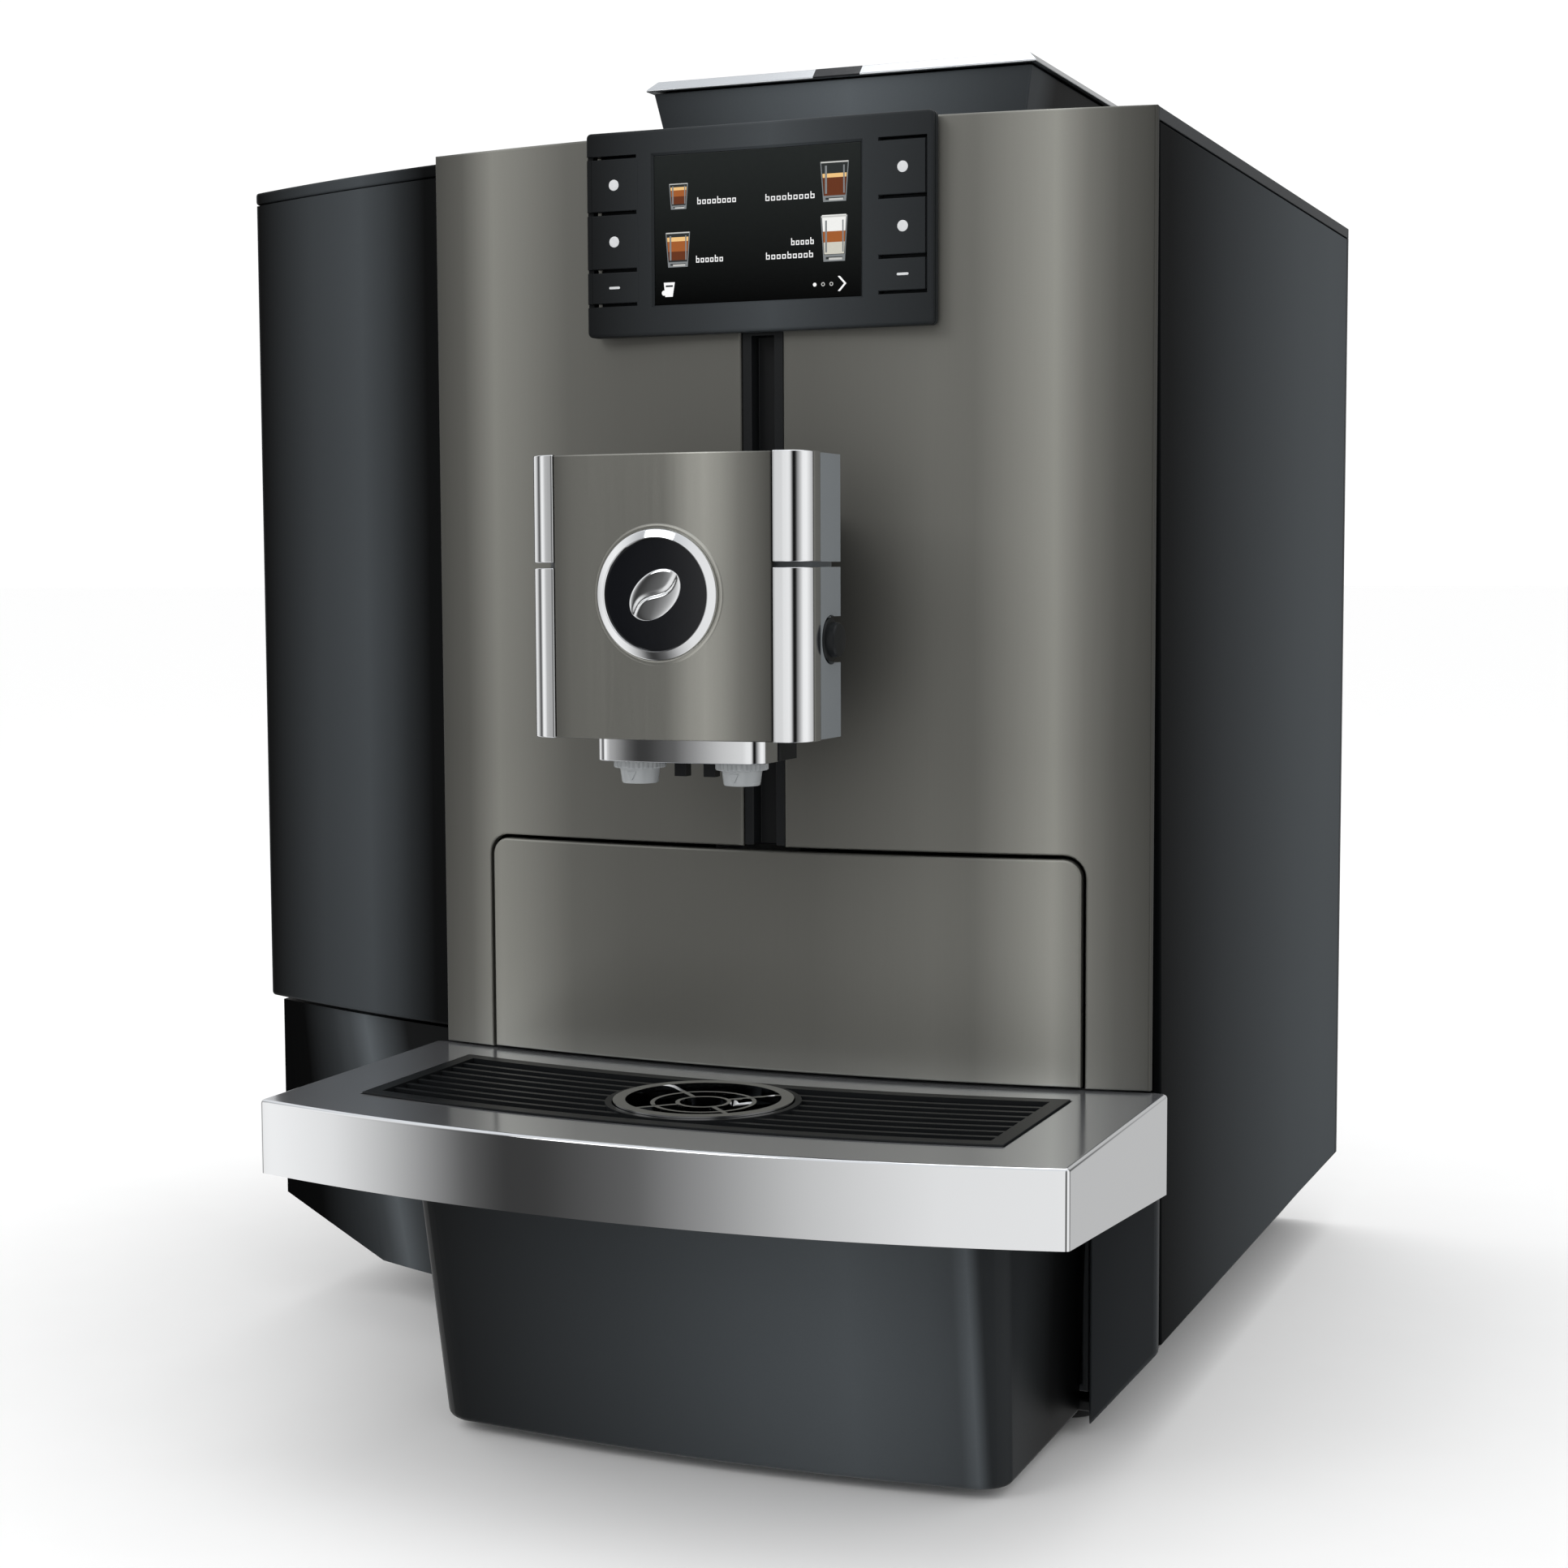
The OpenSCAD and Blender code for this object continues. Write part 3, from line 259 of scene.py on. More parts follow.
FINISHES = {
    "satin_black": moulded("moulded_satin_black", (0.022, 0.025, 0.028), 0.42),
    "deep_black": moulded("moulded_deep_black", (0.008, 0.009, 0.010), 0.36),
    "dark_steel": lacquered_metal("warm_grey_lacquered_metal", (0.235, 0.222, 0.192), 0.36),
    "bright_chrome": plated("bright_plated_chrome", (0.86, 0.87, 0.88), 0.045),
    "grey_plastic": moulded("moulded_cool_grey", (0.17, 0.185, 0.195), 0.42),
    "clear_grey": clear_plastic("frosted_clear_grey", (0.40, 0.42, 0.43), 0.24, 0.8),
    # The display glass carries a painted reflection: darker towards the bottom, lighter towards the top.
    "screen_glass": moulded("black_display_glass", (0.016, 0.0185, 0.018), 0.16, 600.0, 0.000002, 0.12, [
        ("Z", ((378, 0.05), (392, 0.35), (427, 1.0)))]),
    "galvanised": bare_metal("zinc_plated_steel", (0.50, 0.51, 0.53), 0.38),
    "cast_metal": bare_metal("cast_aluminium", (0.62, 0.63, 0.64), 0.45, 500.0, 0.00015),
    "board_green": circuit_board("green_circuit_board"),
    "rubber_black": moulded("soft_black_rubber", (0.012, 0.012, 0.012), 0.78, 700.0, 0.00008, 0.25),
    "burr_ceramic": moulded("glazed_white_ceramic", (0.72, 0.71, 0.67), 0.22, 300.0, 0.00002, 0.5),
}

# The large pieces carry painted highlights and painted shade: soft lighter and darker bands that run along
# their own axes.
WARM_METAL = (0.93, 0.91, 0.825)
COOL_BLACK = (0.177, 0.2, 0.218)
# Front panel: painted highlights near both ends, painted shade at its edges, lighter towards the bottom.
PANEL_METAL = lacquered_metal("warm_grey_panel_metal", WARM_METAL, 0.5, [
    ("X", ((-78, 0.145), (-66, 0.23), (-53, 0.51), (-43, 0.445), (-22, 0.275), (0, 0.245), (69, 0.235),
           (110, 0.30), (124, 0.28), (140, 0.435), (150, 0.54), (160, 0.31), (170, 0.18), (181, 0.11))),
    ("Z", ((121, 1.0), (150, 0.95), (230, 0.8), (435, 0.8)))])
# Spout cover: a painted highlight right of the middle, painted shade at its ends.
COVER_METAL = lacquered_metal("warm_grey_cover_metal", WARM_METAL, 0.38, [
    ("X", ((15, 0.165), (21, 0.27), (30, 0.34), (54, 0.33), (62, 0.55), (67, 0.60), (72, 0.475),
           (78, 0.275), (83, 0.18), (88, 0.095)))])
# Water tank: a painted highlight across its middle, painted shade at both edges.
TANK_BLACK = moulded("tank_satin_black", COOL_BLACK, 0.45, specular=0.04, painted_bands=[
    ("X", ((-186.5, 0.2), (-184.5, 0.005), (-175, 0.06), (-152, 0.185), (-125, 0.27), (-112, 0.18),
           (-103.5, 0.095), (-92, 0.012), (-83, 0.012)))])
# Side panels: painted shade at the front, growing lighter towards the rear as painted light.
SIDE_BLACK = moulded("side_satin_black", COOL_BLACK, 0.5, specular=0.015, painted_bands=[
    ("Y", ((-114, 0.02), (-84, 0.02), (-50, 0.065), (0, 0.14), (64, 0.22), (130, 0.30), (193, 0.34),
           (231, 0.33)))])
# Bin: painted highlights on the front and at its right corner, painted shade towards the rear under the tray.
BIN_BLACK = moulded("bin_satin_black", COOL_BLACK, 0.42, specular=0.08, painted_bands=[
    ("X", ((-48, 0.025), (-34, 0.06), (-10, 0.115), (29, 0.20), (72, 0.315), (105, 0.38), (131, 0.29),
           (138.5, 0.25), (143.5, 0.42), (147, 0.10), (152, 0.10))),
    ("Y", ((-175, 1.0), (-150, 1.0), (-115, 0.1)))])
# Display housing: a painted highlight near the middle, painted shade at its ends.
DISPLAY_BLACK = moulded("display_satin_black", COOL_BLACK, 0.42, specular=0.1, painted_bands=[
    ("X", ((-10, 0.03), (10, 0.105), (31, 0.175), (57, 0.285), (77, 0.19), (92, 0.14), (113, 0.09)))])
# Hopper: a painted highlight across the front, painted shade at its ends and on all that lies further back.
HOPPER_BLACK = moulded("hopper_satin_black", COOL_BLACK, 0.42, specular=0.1, painted_bands=[
    ("X", ((-38, 0.10), (-10, 0.32), (16, 0.56), (48, 0.79), (79, 0.51), (103, 0.32), (116, 0.26))),
    ("Y", ((-12, 1.0), (8, 0.04), (134, 0.04)))])
# Tank dock: a painted highlight near the middle of its front, painted shade at both ends.
DOCK_BLACK = moulded("dock_satin_black", COOL_BLACK, 0.42, specular=0.06, painted_bands=[
    ("X", ((-183.5, 0.005), (-171, 0.006), (-158, 0.115), (-144, 0.255), (-134.5, 0.525), (-125, 0.27),
           (-112, 0.02), (-83, 0.016)))])
GLOSS_BLACK = moulded("polished_black_enamel", (0.004, 0.0045, 0.006), 0.07, 500.0, 0.000002, 0.6)
KEY_MARK = moulded("silver_printed_mark", (0.62, 0.63, 0.64), 0.4, 900.0, 0.00001, 0.5)
RIM_CHROME = plated("rim_plated_chrome", (0.70, 0.715, 0.73), 0.16)
POLISHED_DECK = plated("polished_deck_steel", (0.88, 0.90, 0.94), 0.12, 0.9)


# ---- Bench: how pieces are shaped ----

def lift(axis, point, height):
    """A point of a flat outline put into space: the outline lies across that axis."""
    a, b = point
    return {"X": (height, a, b), "Y": (a, height, b), "Z": (a, b, height)}[axis]


def rounded(points, radii, steps=6):
    """The outline with its corners rounded; radii is one radius or one for each corner."""
    radii = radii if isinstance(radii, (list, tuple)) else [radii] * len(points)
    bm = bmesh.new()
    corners = [bm.verts.new((x, y, 0)) for x, y in points]
    bm.faces.new(corners)
    for radius in sorted({r for r in radii if r > 0}):
        bmesh.ops.bevel(bm, geom=[v for v, r in zip(corners, radii) if r == radius and v.is_valid],
                        offset=radius, segments=steps, profile=0.5, affect="VERTICES", material=-1)
    bm.faces.ensure_lookup_table()
    outline = [(loop.vert.co.x, loop.vert.co.y) for loop in bm.faces[0].loops]
    bm.free()
    return outline


def rectangle(x0, x1, y0, y1):
    """The corners of a rectangle, anticlockwise."""
    return [(x0, y0), (x1, y0), (x1, y1), (x0, y1)]


def slab(points, axis, start, end, holes=()):
    """A flat outline drawn out along an axis, with holes through it."""
    bm = bmesh.new()
    if holes:
        edges = []
        for loop in [points, *holes]:
            verts = [bm.verts.new(lift(axis, p, start)) for p in loop]
            edges += [bm.edges.new(pair) for pair in zip(verts, verts[1:] + verts[:1])]
        bmesh.ops.triangle_fill(bm, edges=edges, use_beauty=True, use_dissolve=False)
    else:
        bm.faces.new([bm.verts.new(lift(axis, p, start)) for p in points])
    drawn = bmesh.ops.extrude_face_region(bm, geom=bm.faces[:])
    bmesh.ops.translate(bm, verts=[v for v in drawn["geom"] if isinstance(v, bmesh.types.BMVert)],
                        vec=lift(axis, (0, 0), end - start))
    bmesh.ops.recalc_face_normals(bm, faces=bm.faces)
    return bm


def box(x0, x1, y0, y1, z0, z1):
    """A square-edged block, mostly used to cut with."""
    return slab(rectangle(x0, x1, y0, y1), "Z", z0, z1)


def turned(profile, centre, axis="Z", steps=64):
    """A profile of (radius, height) points spun about an axis through the centre."""
    bm = bmesh.new()
    verts = [bm.verts.new((r, 0, h)) for r, h in profile]
    edges = [bm.edges.new(pair) for pair in zip(verts, verts[1:])]
    bmesh.ops.spin(bm, geom=verts + edges, cent=(0, 0, 0), axis=(0, 0, 1), dvec=(0, 0, 0),
                   angle=2 * math.pi, steps=steps, use_merge=True, use_duplicate=False)
    bmesh.ops.remove_doubles(bm, verts=bm.verts, dist=0.0005)
    bmesh.ops.recalc_face_normals(bm, faces=bm.faces)
    turn = {"Z": Matrix.Identity(3), "Y": Matrix.Rotation(math.radians(90), 3, "X"),
            "X": Matrix.Rotation(math.radians(90), 3, "Y")}[axis]
    bmesh.ops.rotate(bm, verts=bm.verts, cent=(0, 0, 0), matrix=turn)
    bmesh.ops.translate(bm, verts=bm.verts, vec=centre)
    return bm


def soften(bm, width, segments=3, angle=30.0, where=None):
    """Rounds the sharp edges, or those that where() picks by their middle and direction."""
    picked = []
    for edge in bm.edges:
        if len(edge.link_faces) == 2 and edge.calc_face_angle(0.0) > math.radians(angle):
            a, b = edge.verts[0].co, edge.verts[1].co
            if where is None or where((a + b) / 2, (b - a).normalized()):
                picked.append(edge)
    bmesh.ops.bevel(bm, geom=picked, offset=width, segments=segments, profile=0.5,
                    affect="EDGES", clamp_overlap=True, material=-1)
    return bm


def cuts(bm, x0, x1, step):
    """Upright cuts across X so that a flat piece can take a bow."""
    count = max(1, round((x1 - x0) / step))
    for i in range(1, count):
        bmesh.ops.bisect_plane(bm, geom=bm.verts[:] + bm.edges[:] + bm.faces[:], dist=0.001,
                               plane_co=(x0 + (x1 - x0) * i / count, 0, 0), plane_no=(1, 0, 0))


def arc_y(x, centre_x, centre_y, radius):
    """How far forward an upright cylinder's near side lies at x."""
    return centre_y - math.sqrt(radius * radius - (x - centre_x) ** 2)


def bow(bm, centre_x, centre_y, radius, step=3.0, share=lambda co: 1.0):
    """Bends a flat piece round an upright cylinder; share says how much a point follows."""
    xs = [v.co.x for v in bm.verts]
    cuts(bm, min(xs), max(xs), step)
    for v in bm.verts:
        v.co.y += share(v.co) * (arc_y(v.co.x, centre_x, centre_y, radius) - (centre_y - radius))
    return bm


def joined(first, *others):
    """One bmesh with all the others' geometry in it."""
    for other in others:
        mesh = bpy.data.meshes.new("joint")
        other.to_mesh(mesh)
        other.free()
        first.from_mesh(mesh)
        bpy.data.meshes.remove(mesh)
    return first


def carved(bm, *cutters):
    """The piece with the cutters' solids taken out of it."""
    objects = []
    for form in (bm, *cutters):
        mesh = bpy.data.meshes.new("carving")
        form.to_mesh(mesh)
        form.free()
        made = bpy.data.objects.new("carving", mesh)
        bpy.context.scene.collection.objects.link(made)
        objects.append(made)
    for cutter in objects[1:]:
        step = objects[0].modifiers.new("cut", "BOOLEAN")
        step.operation, step.solver, step.object = "DIFFERENCE", "EXACT", cutter
    bpy.context.view_layer.update()
    out = bmesh.new()
    out.from_object(objects[0], bpy.context.evaluated_depsgraph_get())
    for made in objects:
        mesh = made.data
        bpy.data.objects.remove(made)
        bpy.data.meshes.remove(mesh)
    bmesh.ops.remove_doubles(out, verts=out.verts, dist=0.001)
    bmesh.ops.dissolve_limit(out, angle_limit=math.radians(0.5), use_dissolve_boundaries=False,
                             verts=out.verts, edges=out.edges, delimit=set())
    return out


def copied(node):
    """The CAD node's own form in millimetres, merged and with its flat faces whole."""
    bm = bmesh.new()
    bm.from_mesh(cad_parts[node].data)
    bmesh.ops.scale(bm, vec=(1 / MM,) * 3, verts=bm.verts)
    bmesh.ops.remove_doubles(bm, verts=bm.verts, dist=0.01)
    bmesh.ops.dissolve_limit(bm, angle_limit=math.radians(0.6), use_dissolve_boundaries=False,
                             verts=bm.verts, edges=bm.edges, delimit=set())
    return bm


def finished(name, bm, finish, body, nodes=(), edge=0.0, crease=32.0):
    """Turns the bench form into a piece: metres, smooth faces, rounded edges, finish and body."""
    bmesh.ops.scale(bm, vec=(MM,) * 3, verts=bm.verts)
    mesh = bpy.data.meshes.new(name)
    bm.to_mesh(mesh)
    bm.free()
    for face in mesh.polygons:
        face.use_smooth = True
    mesh.set_sharp_from_angle(angle=math.radians(crease))
    made = bpy.data.objects.new(name, mesh)
    bpy.context.scene.collection.objects.link(made)
    for one in finish if isinstance(finish, (list, tuple)) else [finish]:
        mesh.materials.append(one)
    if edge:
        rounding = made.modifiers.new("rounded_edges", "BEVEL")
        rounding.width, rounding.segments = edge * MM, 2
        rounding.limit_method, rounding.angle_limit = "ANGLE", math.radians(crease)
        rounding.use_clamp_overlap = True
    even = made.modifiers.new("even_shading", "WEIGHTED_NORMAL")
    even.keep_sharp = True
    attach(made, body)
    if nodes:
        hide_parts(*nodes)
    return made


def from_node(node, body, slot, edge, finish=None):
    """The CAD node again with rounded edges."""
    return finished(node + "_piece", copied(node), finish or FINISHES[slot], body, [node], edge)


# ---- Housing ----

def make_front_panel():
    """The bowed panel, cut out from below for the drawer, the spout's rail and the display."""
    door, door_top, corner = 108.8, 197.3, 7.3
    rail, neck, neck_low, neck_top = 7.5, 58.5, 372.0, 430.0
    outline = [(BODY_X[0], PANEL_LOW), (BODY_X[0], BODY_TOP), (BODY_X[1], BODY_TOP), (BODY_X[1], PANEL_LOW)]
    right_side = [(door, PANEL_LOW), (door, door_top), (rail, door_top), (rail, neck_low), (neck, neck_low),
                  (neck, neck_top)]
    opening = [(FRONT_X + x, z) for x, z in right_side] + [(FRONT_X - x, z) for x, z in reversed(right_side)]
    corners = [0, 0, 0, 0, 0, corner, 0, 0, 0, 0, 0, 0, 0, 0, corner, 0]
    bm = slab(rounded(outline + opening, corners), "Y", PANEL_Y, PANEL_Y + 3.0)
    soften(bm, 0.8, 3, where=lambda mid, way: mid.y < PANEL_Y + 0.5)
    bow(bm, FRONT_X, PANEL_CY, PANEL_R, 2.5)
    finished("front_panel_piece", bm, PANEL_METAL, "housing", ["front_panel"])


def make_side_panels():
    """Flat sheets whose front edge leans with the machine's front."""
    thickness = 3.0
    outline = [(-83.2, 32.0), (227.8, 32.0), (227.8, 430.5), (-97.2, 430.5)]
    for name, x0 in (("right_side_panel", BODY_X[1] - thickness), ("left_side_panel", BODY_X[0])):
        bm = soften(slab(outline, "X", x0, x0 + thickness), 0.8)
        finished(name + "_piece", bm, SIDE_BLACK, "housing", [name])


POWER_KEY = (-48.0, -52.0)


def make_top_cover():
    """The flat cover with openings for the hopper, the powder lid and the power key."""
    front = [(x, arc_y(x, FRONT_X, PANEL_CY, PANEL_R) + 3.3)
             for x in [BODY_X[0] + (BODY_X[1] - BODY_X[0]) * i / 48 for i in range(49)]]
    outline = front + [(BODY_X[1], REAR_Y), (BODY_X[0], REAR_Y)]
    hopper = rectangle(-26.75, 114.25, -21.5, 129.5)
    powder = rounded(rectangle(129.0, 165.0, -14.0, 34.0), 1.5)
    key = [(POWER_KEY[0] + 7.5 * math.cos(a), POWER_KEY[1] + 7.5 * math.sin(a))
           for a in [2 * math.pi * i / 40 for i in range(40)]]
    bm = slab(outline, "Z", 431.0, BODY_TOP, [hopper, powder, key])
    bm = carved(bm, box(125.5, 168.5, -18.5, 44.0, BODY_TOP - 2.0, BODY_TOP + 1.0))
    finished("top_cover_piece", bm, FINISHES["satin_black"], "housing", ["top_cover"], 0.7)


# ---- Display ----

DISPLAY_Y, SCREEN_Y = -119.0, -118.2
DISPLAY_HALF, DISPLAY_Z = 61.5, (368.0, 435.6)
WINDOW_HALF, WINDOW_Z = 36.8, (377.8, 427.0)


def centred(half, low, high):
    """A rectangle that lies evenly about the middle of the front."""
    return rectangle(FRONT_X - half, FRONT_X + half, low, high)


def make_display():
    """The display's housing with its shadow gap, sloped window edge and key wells, and its glass."""
    (low, top), left = DISPLAY_Z, FRONT_X - DISPLAY_HALF
    bm = slab(rounded(centred(DISPLAY_HALF, low, top), 1.6), "Y", DISPLAY_Y, PANEL_Y - 0.05)
    soften(bm, 1.0, 3, where=lambda mid, way: mid.y < DISPLAY_Y + 0.5)
    neck = box(FRONT_X - 58.2, FRONT_X + 58.2, PANEL_Y - 0.1, -103.0, 372.3, 429.7)
    shadow_gap = slab(centred(DISPLAY_HALF + 2.0, low - 2.0, top + 2.0), "Y", -117.0, -116.2,
                      [centred(DISPLAY_HALF - 1.0, low + 1.0, top - 1.0)])
    window = slab(centred(WINDOW_HALF, *WINDOW_Z), "Y", -125.0, -115.0)
    slope = slab(centred(WINDOW_HALF + 1.1, WINDOW_Z[0] - 0.9, WINDOW_Z[1] + 1.1), "Y",
                 DISPLAY_Y - 0.4, DISPLAY_Y + 0.9)
    for v in slope.verts:
        if v.co.y > DISPLAY_Y:
            v.co.x += 1.1 if v.co.x < FRONT_X else -1.1
            v.co.z += 1.1 if v.co.z < 400.0 else -1.1
    cutters = [shadow_gap, window, slope]
    for side in (-1, 1):
        inner, outer = FRONT_X + side * 43.0, FRONT_X + side * 59.4
        cutters.append(box(min(inner, outer) - 0.1, max(inner, outer) + 0.1, -125.0, -113.2, 378.0, 427.8))
    for z in (378.5, 389.9, 408.9, 427.3):
        cutters.append(box(left - 1.0, FRONT_X - 59.0, -125.0, -117.6, z - 0.6, z + 0.6))
    body = carved(bm, *cutters)
    finished("display_housing_piece", joined(body, neck), DISPLAY_BLACK, "housing",
             ["display_housing"], 0.35)
    glass = slab(centred(WINDOW_HALF - 0.1, WINDOW_Z[0] + 0.1, WINDOW_Z[1] - 0.1), "Y", SCREEN_Y, -115.1)
    finished("display_screen_piece", soften(glass, 0.2, 2), FINISHES["screen_glass"], "housing",
             ["display_screen"])


def make_keys():
    """Six key tongues, each with its shank and stem and a silver dot or bar."""
    rows = [(409.5, 426.7), (390.5, 408.3), (379.1, 389.3)]
    for side, hand, outer_edge in ((-1, "left", 59.4), (1, "right", 58.8)):
        x = FRONT_X + side * 51.2
        inner, outer = FRONT_X + side * 42.4, FRONT_X + side * outer_edge
        for row, (z0, z1) in enumerate(rows):
            name = f"key_{hand}_{row + 1}"
            body = f"key_{hand[0]}{row + 1}"
            middle = (z0 + z1) / 2
            bm = slab(rectangle(min(inner, outer), max(inner, outer), z0, z1), "Y", DISPLAY_Y - 0.03, -118.0)
            soften(bm, 0.35, 3, where=lambda mid, way: mid.y < DISPLAY_Y + 0.1 and abs(way.x) > 0.9)
            shank = box(x - 7.8, x + 7.8, -118.1, -114.6, z0 + 0.2, z1 - 0.2)
            stem = turned([(0, 0), (1.6, 0), (1.6, 5), (0, 5)], (x, -107.0, middle), "Y", 24)
            finished(name + "_piece", joined(bm, shank, stem), DISPLAY_BLACK, body, [name])
            if row < 2:
                mark = turned([(0, 0.09), (1.3, 0.08), (1.78, 0.04), (1.86, 0), (1.86, -0.3), (0, -0.3)],
                              (x, DISPLAY_Y, middle), "Y", 40)
            else:
                bar = rounded(rectangle(x - 2.0, x + 2.0, middle - 0.4, middle + 0.4), 0.38, 4)
                mark = soften(slab(bar, "Y", DISPLAY_Y - 0.08, DISPLAY_Y + 0.3), 0.04, 2)
            finished(name + "_mark", mark, KEY_MARK, body)


# ---- Screen pictures ----

def flat(points, height):
    """A thin raised shape on the screen."""
    return slab(points, "Y", SCREEN_Y - height, SCREEN_Y + 0.01)


def glass_cup(x, z, width, tall, layers):
    """A little glass seen from the side: walls, thick foot and its layers of drink."""
    taper = 0.80

    def band(low, high, inset, height):
        def half(level):
            return width / 2 * (taper + (1 - taper) * level) - inset
        return flat([(x - half(low), z + tall * low), (x + half(low), z + tall * low),
                     (x + half(high), z + tall * high), (x - half(high), z + tall * high)], height)

    def streak(low, high, place, breadth):
        left, right = x + width * (place - breadth / 2), x + width * (place + breadth / 2)
        return flat(rectangle(left, right, z + tall * low, z + tall * high), 0.05)

    made = [("glass", band(0, 1, 0, 0.02)), ("inside", band(0.15, 0.97, 0.3, 0.03)),
            ("inside", band(0.05, 0.10, 0.9, 0.03)), ("gleam", band(0.965, 1.0, 0.2, 0.045))]
    for finish, low, high in layers:
        made.append((finish, band(low, high, 0.45, 0.04)))
    made += [("glass", streak(0.2, 0.9, -0.30, 0.07)), ("glass", streak(0.2, 0.9, 0.33, 0.05)),
             ("gleam", streak(0.03, 0.08, 0.05, 0.5))]
    return made


def caption(x0, x1, z, count):
    """A row of plain upright marks that stands for a drink's name."""
    pitch, line = (x1 - x0) / count, 0.3
    marks = []
    for i in range(count):
        left, right = x0 + pitch * i, x0 + pitch * (i + 0.7)
        top = z + (1.5 if i % 4 == 0 else 0.7)
        marks.append(("white", flat(rectangle(left, right, z - 0.75, z + 0.7), 0.04)))
        marks.append(("white", flat(rectangle(left, left + line, z, top), 0.045)))
        marks.append(("inside", flat(rectangle(left + line, right - line, z - 0.45, z + 0.4), 0.06)))
    return marks


def spot(x, z, radius, height, steps, hole=0.0):
    """A round mark on the screen, or a ring where it has a hole."""
    profile = [(hole, 0), (radius, 0), (radius, height), (hole, height)]
    return turned(profile + profile[:1] if hole else profile, (x, SCREEN_Y, z), "Y", steps)


def make_screen_pictures():
    """Four drinks with their captions, a carton, page dots and an arrow."""
    tones = {
        "glass": lit("picture_glass_wall", (0.30, 0.32, 0.33), 0.5),
        "inside": lit("picture_glass_inside", (0.025, 0.03, 0.03), 0.6),
        "coffee": lit("picture_coffee", (0.13, 0.028, 0.005), 0.8),
        "amber": lit("picture_amber_coffee", (0.36, 0.10, 0.018), 0.8),
        "crema": lit("picture_crema", (0.80, 0.50, 0.20), 0.9),
        "milk": lit("picture_milk", (0.62, 0.60, 0.52), 0.8),
        "foam": lit("picture_foam", (0.80, 0.80, 0.78), 0.9),
        "gleam": lit("picture_gleam", (0.62, 0.62, 0.60), 0.7),
        "white": lit("picture_white", (0.90, 0.90, 0.90), 0.9),
    }
    x0, z0 = FRONT_X - WINDOW_HALF, WINDOW_Z[0]
    parts = []
    for x, z, width, tall, layers in (
            (9.0, 31.2, 6.9, 8.4, [("coffee", 0.2, 0.5), ("amber", 0.5, 0.74), ("crema", 0.74, 0.86)]),
            (8.6, 12.3, 8.9, 11.4, [("coffee", 0.2, 0.45), ("amber", 0.45, 0.74), ("crema", 0.74, 0.86)]),
            (64.4, 30.7, 9.9, 12.8, [("coffee", 0.15, 0.60), ("crema", 0.60, 0.70)]),
            (64.2, 11.6, 9.3, 14.6, [("milk", 0.16, 0.42), ("amber", 0.42, 0.66), ("foam", 0.66, 1.02)])):
        parts += glass_cup(x0 + x, z0 + z, width, tall, layers)
    for left, right, z, count in ((15.8, 30.2, 33.2, 8), (15.2, 25.4, 14.2, 6), (40.2, 58.0, 32.9, 9),
                                  (49.2, 57.6, 18.2, 5), (40.3, 57.4, 14.0, 9)):
        parts += caption(x0 + left, x0 + right, z0 + z, count)
    carton = [(x0 + x, z0 + z) for x, z in ((3.9, 2.7), (6.6, 2.7), (7.4, 7.4), (3.4, 7.4))]
    parts.append(("white", flat(carton, 0.03)))
    parts.append(("inside", flat(rectangle(x0 + 4.1, x0 + 6.7, z0 + 5.9, z0 + 6.5), 0.05)))
    parts.append(("white", spot(x0 + 3.5, z0 + 4.0, 0.85, 0.05, 24)))
    parts.append(("white", spot(x0 + 57.4, z0 + 4.4, 0.62, 0.04, 20)))
    for x in (60.3, 63.2):
        parts.append(("gleam", spot(x0 + x, z0 + 4.4, 0.64, 0.04, 24, 0.38)))
    for rise in (2.4, -2.4):
        tip, far = (x0 + 68.4, z0 + 4.4), (x0 + 65.8, z0 + 4.4 + rise)
        parts.append(("white", flat([tip, (tip[0] - 0.8, tip[1]), (far[0] - 0.4, far[1]),
                                     (far[0] + 0.4, far[1])], 0.04)))
    for tone, material in tones.items():
        forms = [bm for kind, bm in parts if kind == tone]
        if forms:
            finished("screen_" + tone, joined(*forms), material, "housing")


# ---- Spout ----

SPOUT_R, SPOUT_CY = 225.0, 28.0      # bow of the block's front
SPOUT_Y = SPOUT_CY - SPOUT_R
BLOCK_HALF, BLOCK_CORNER = 47.0, 9.0
BLOCK_LOW, COVER_HALF = 238.0, 36.3


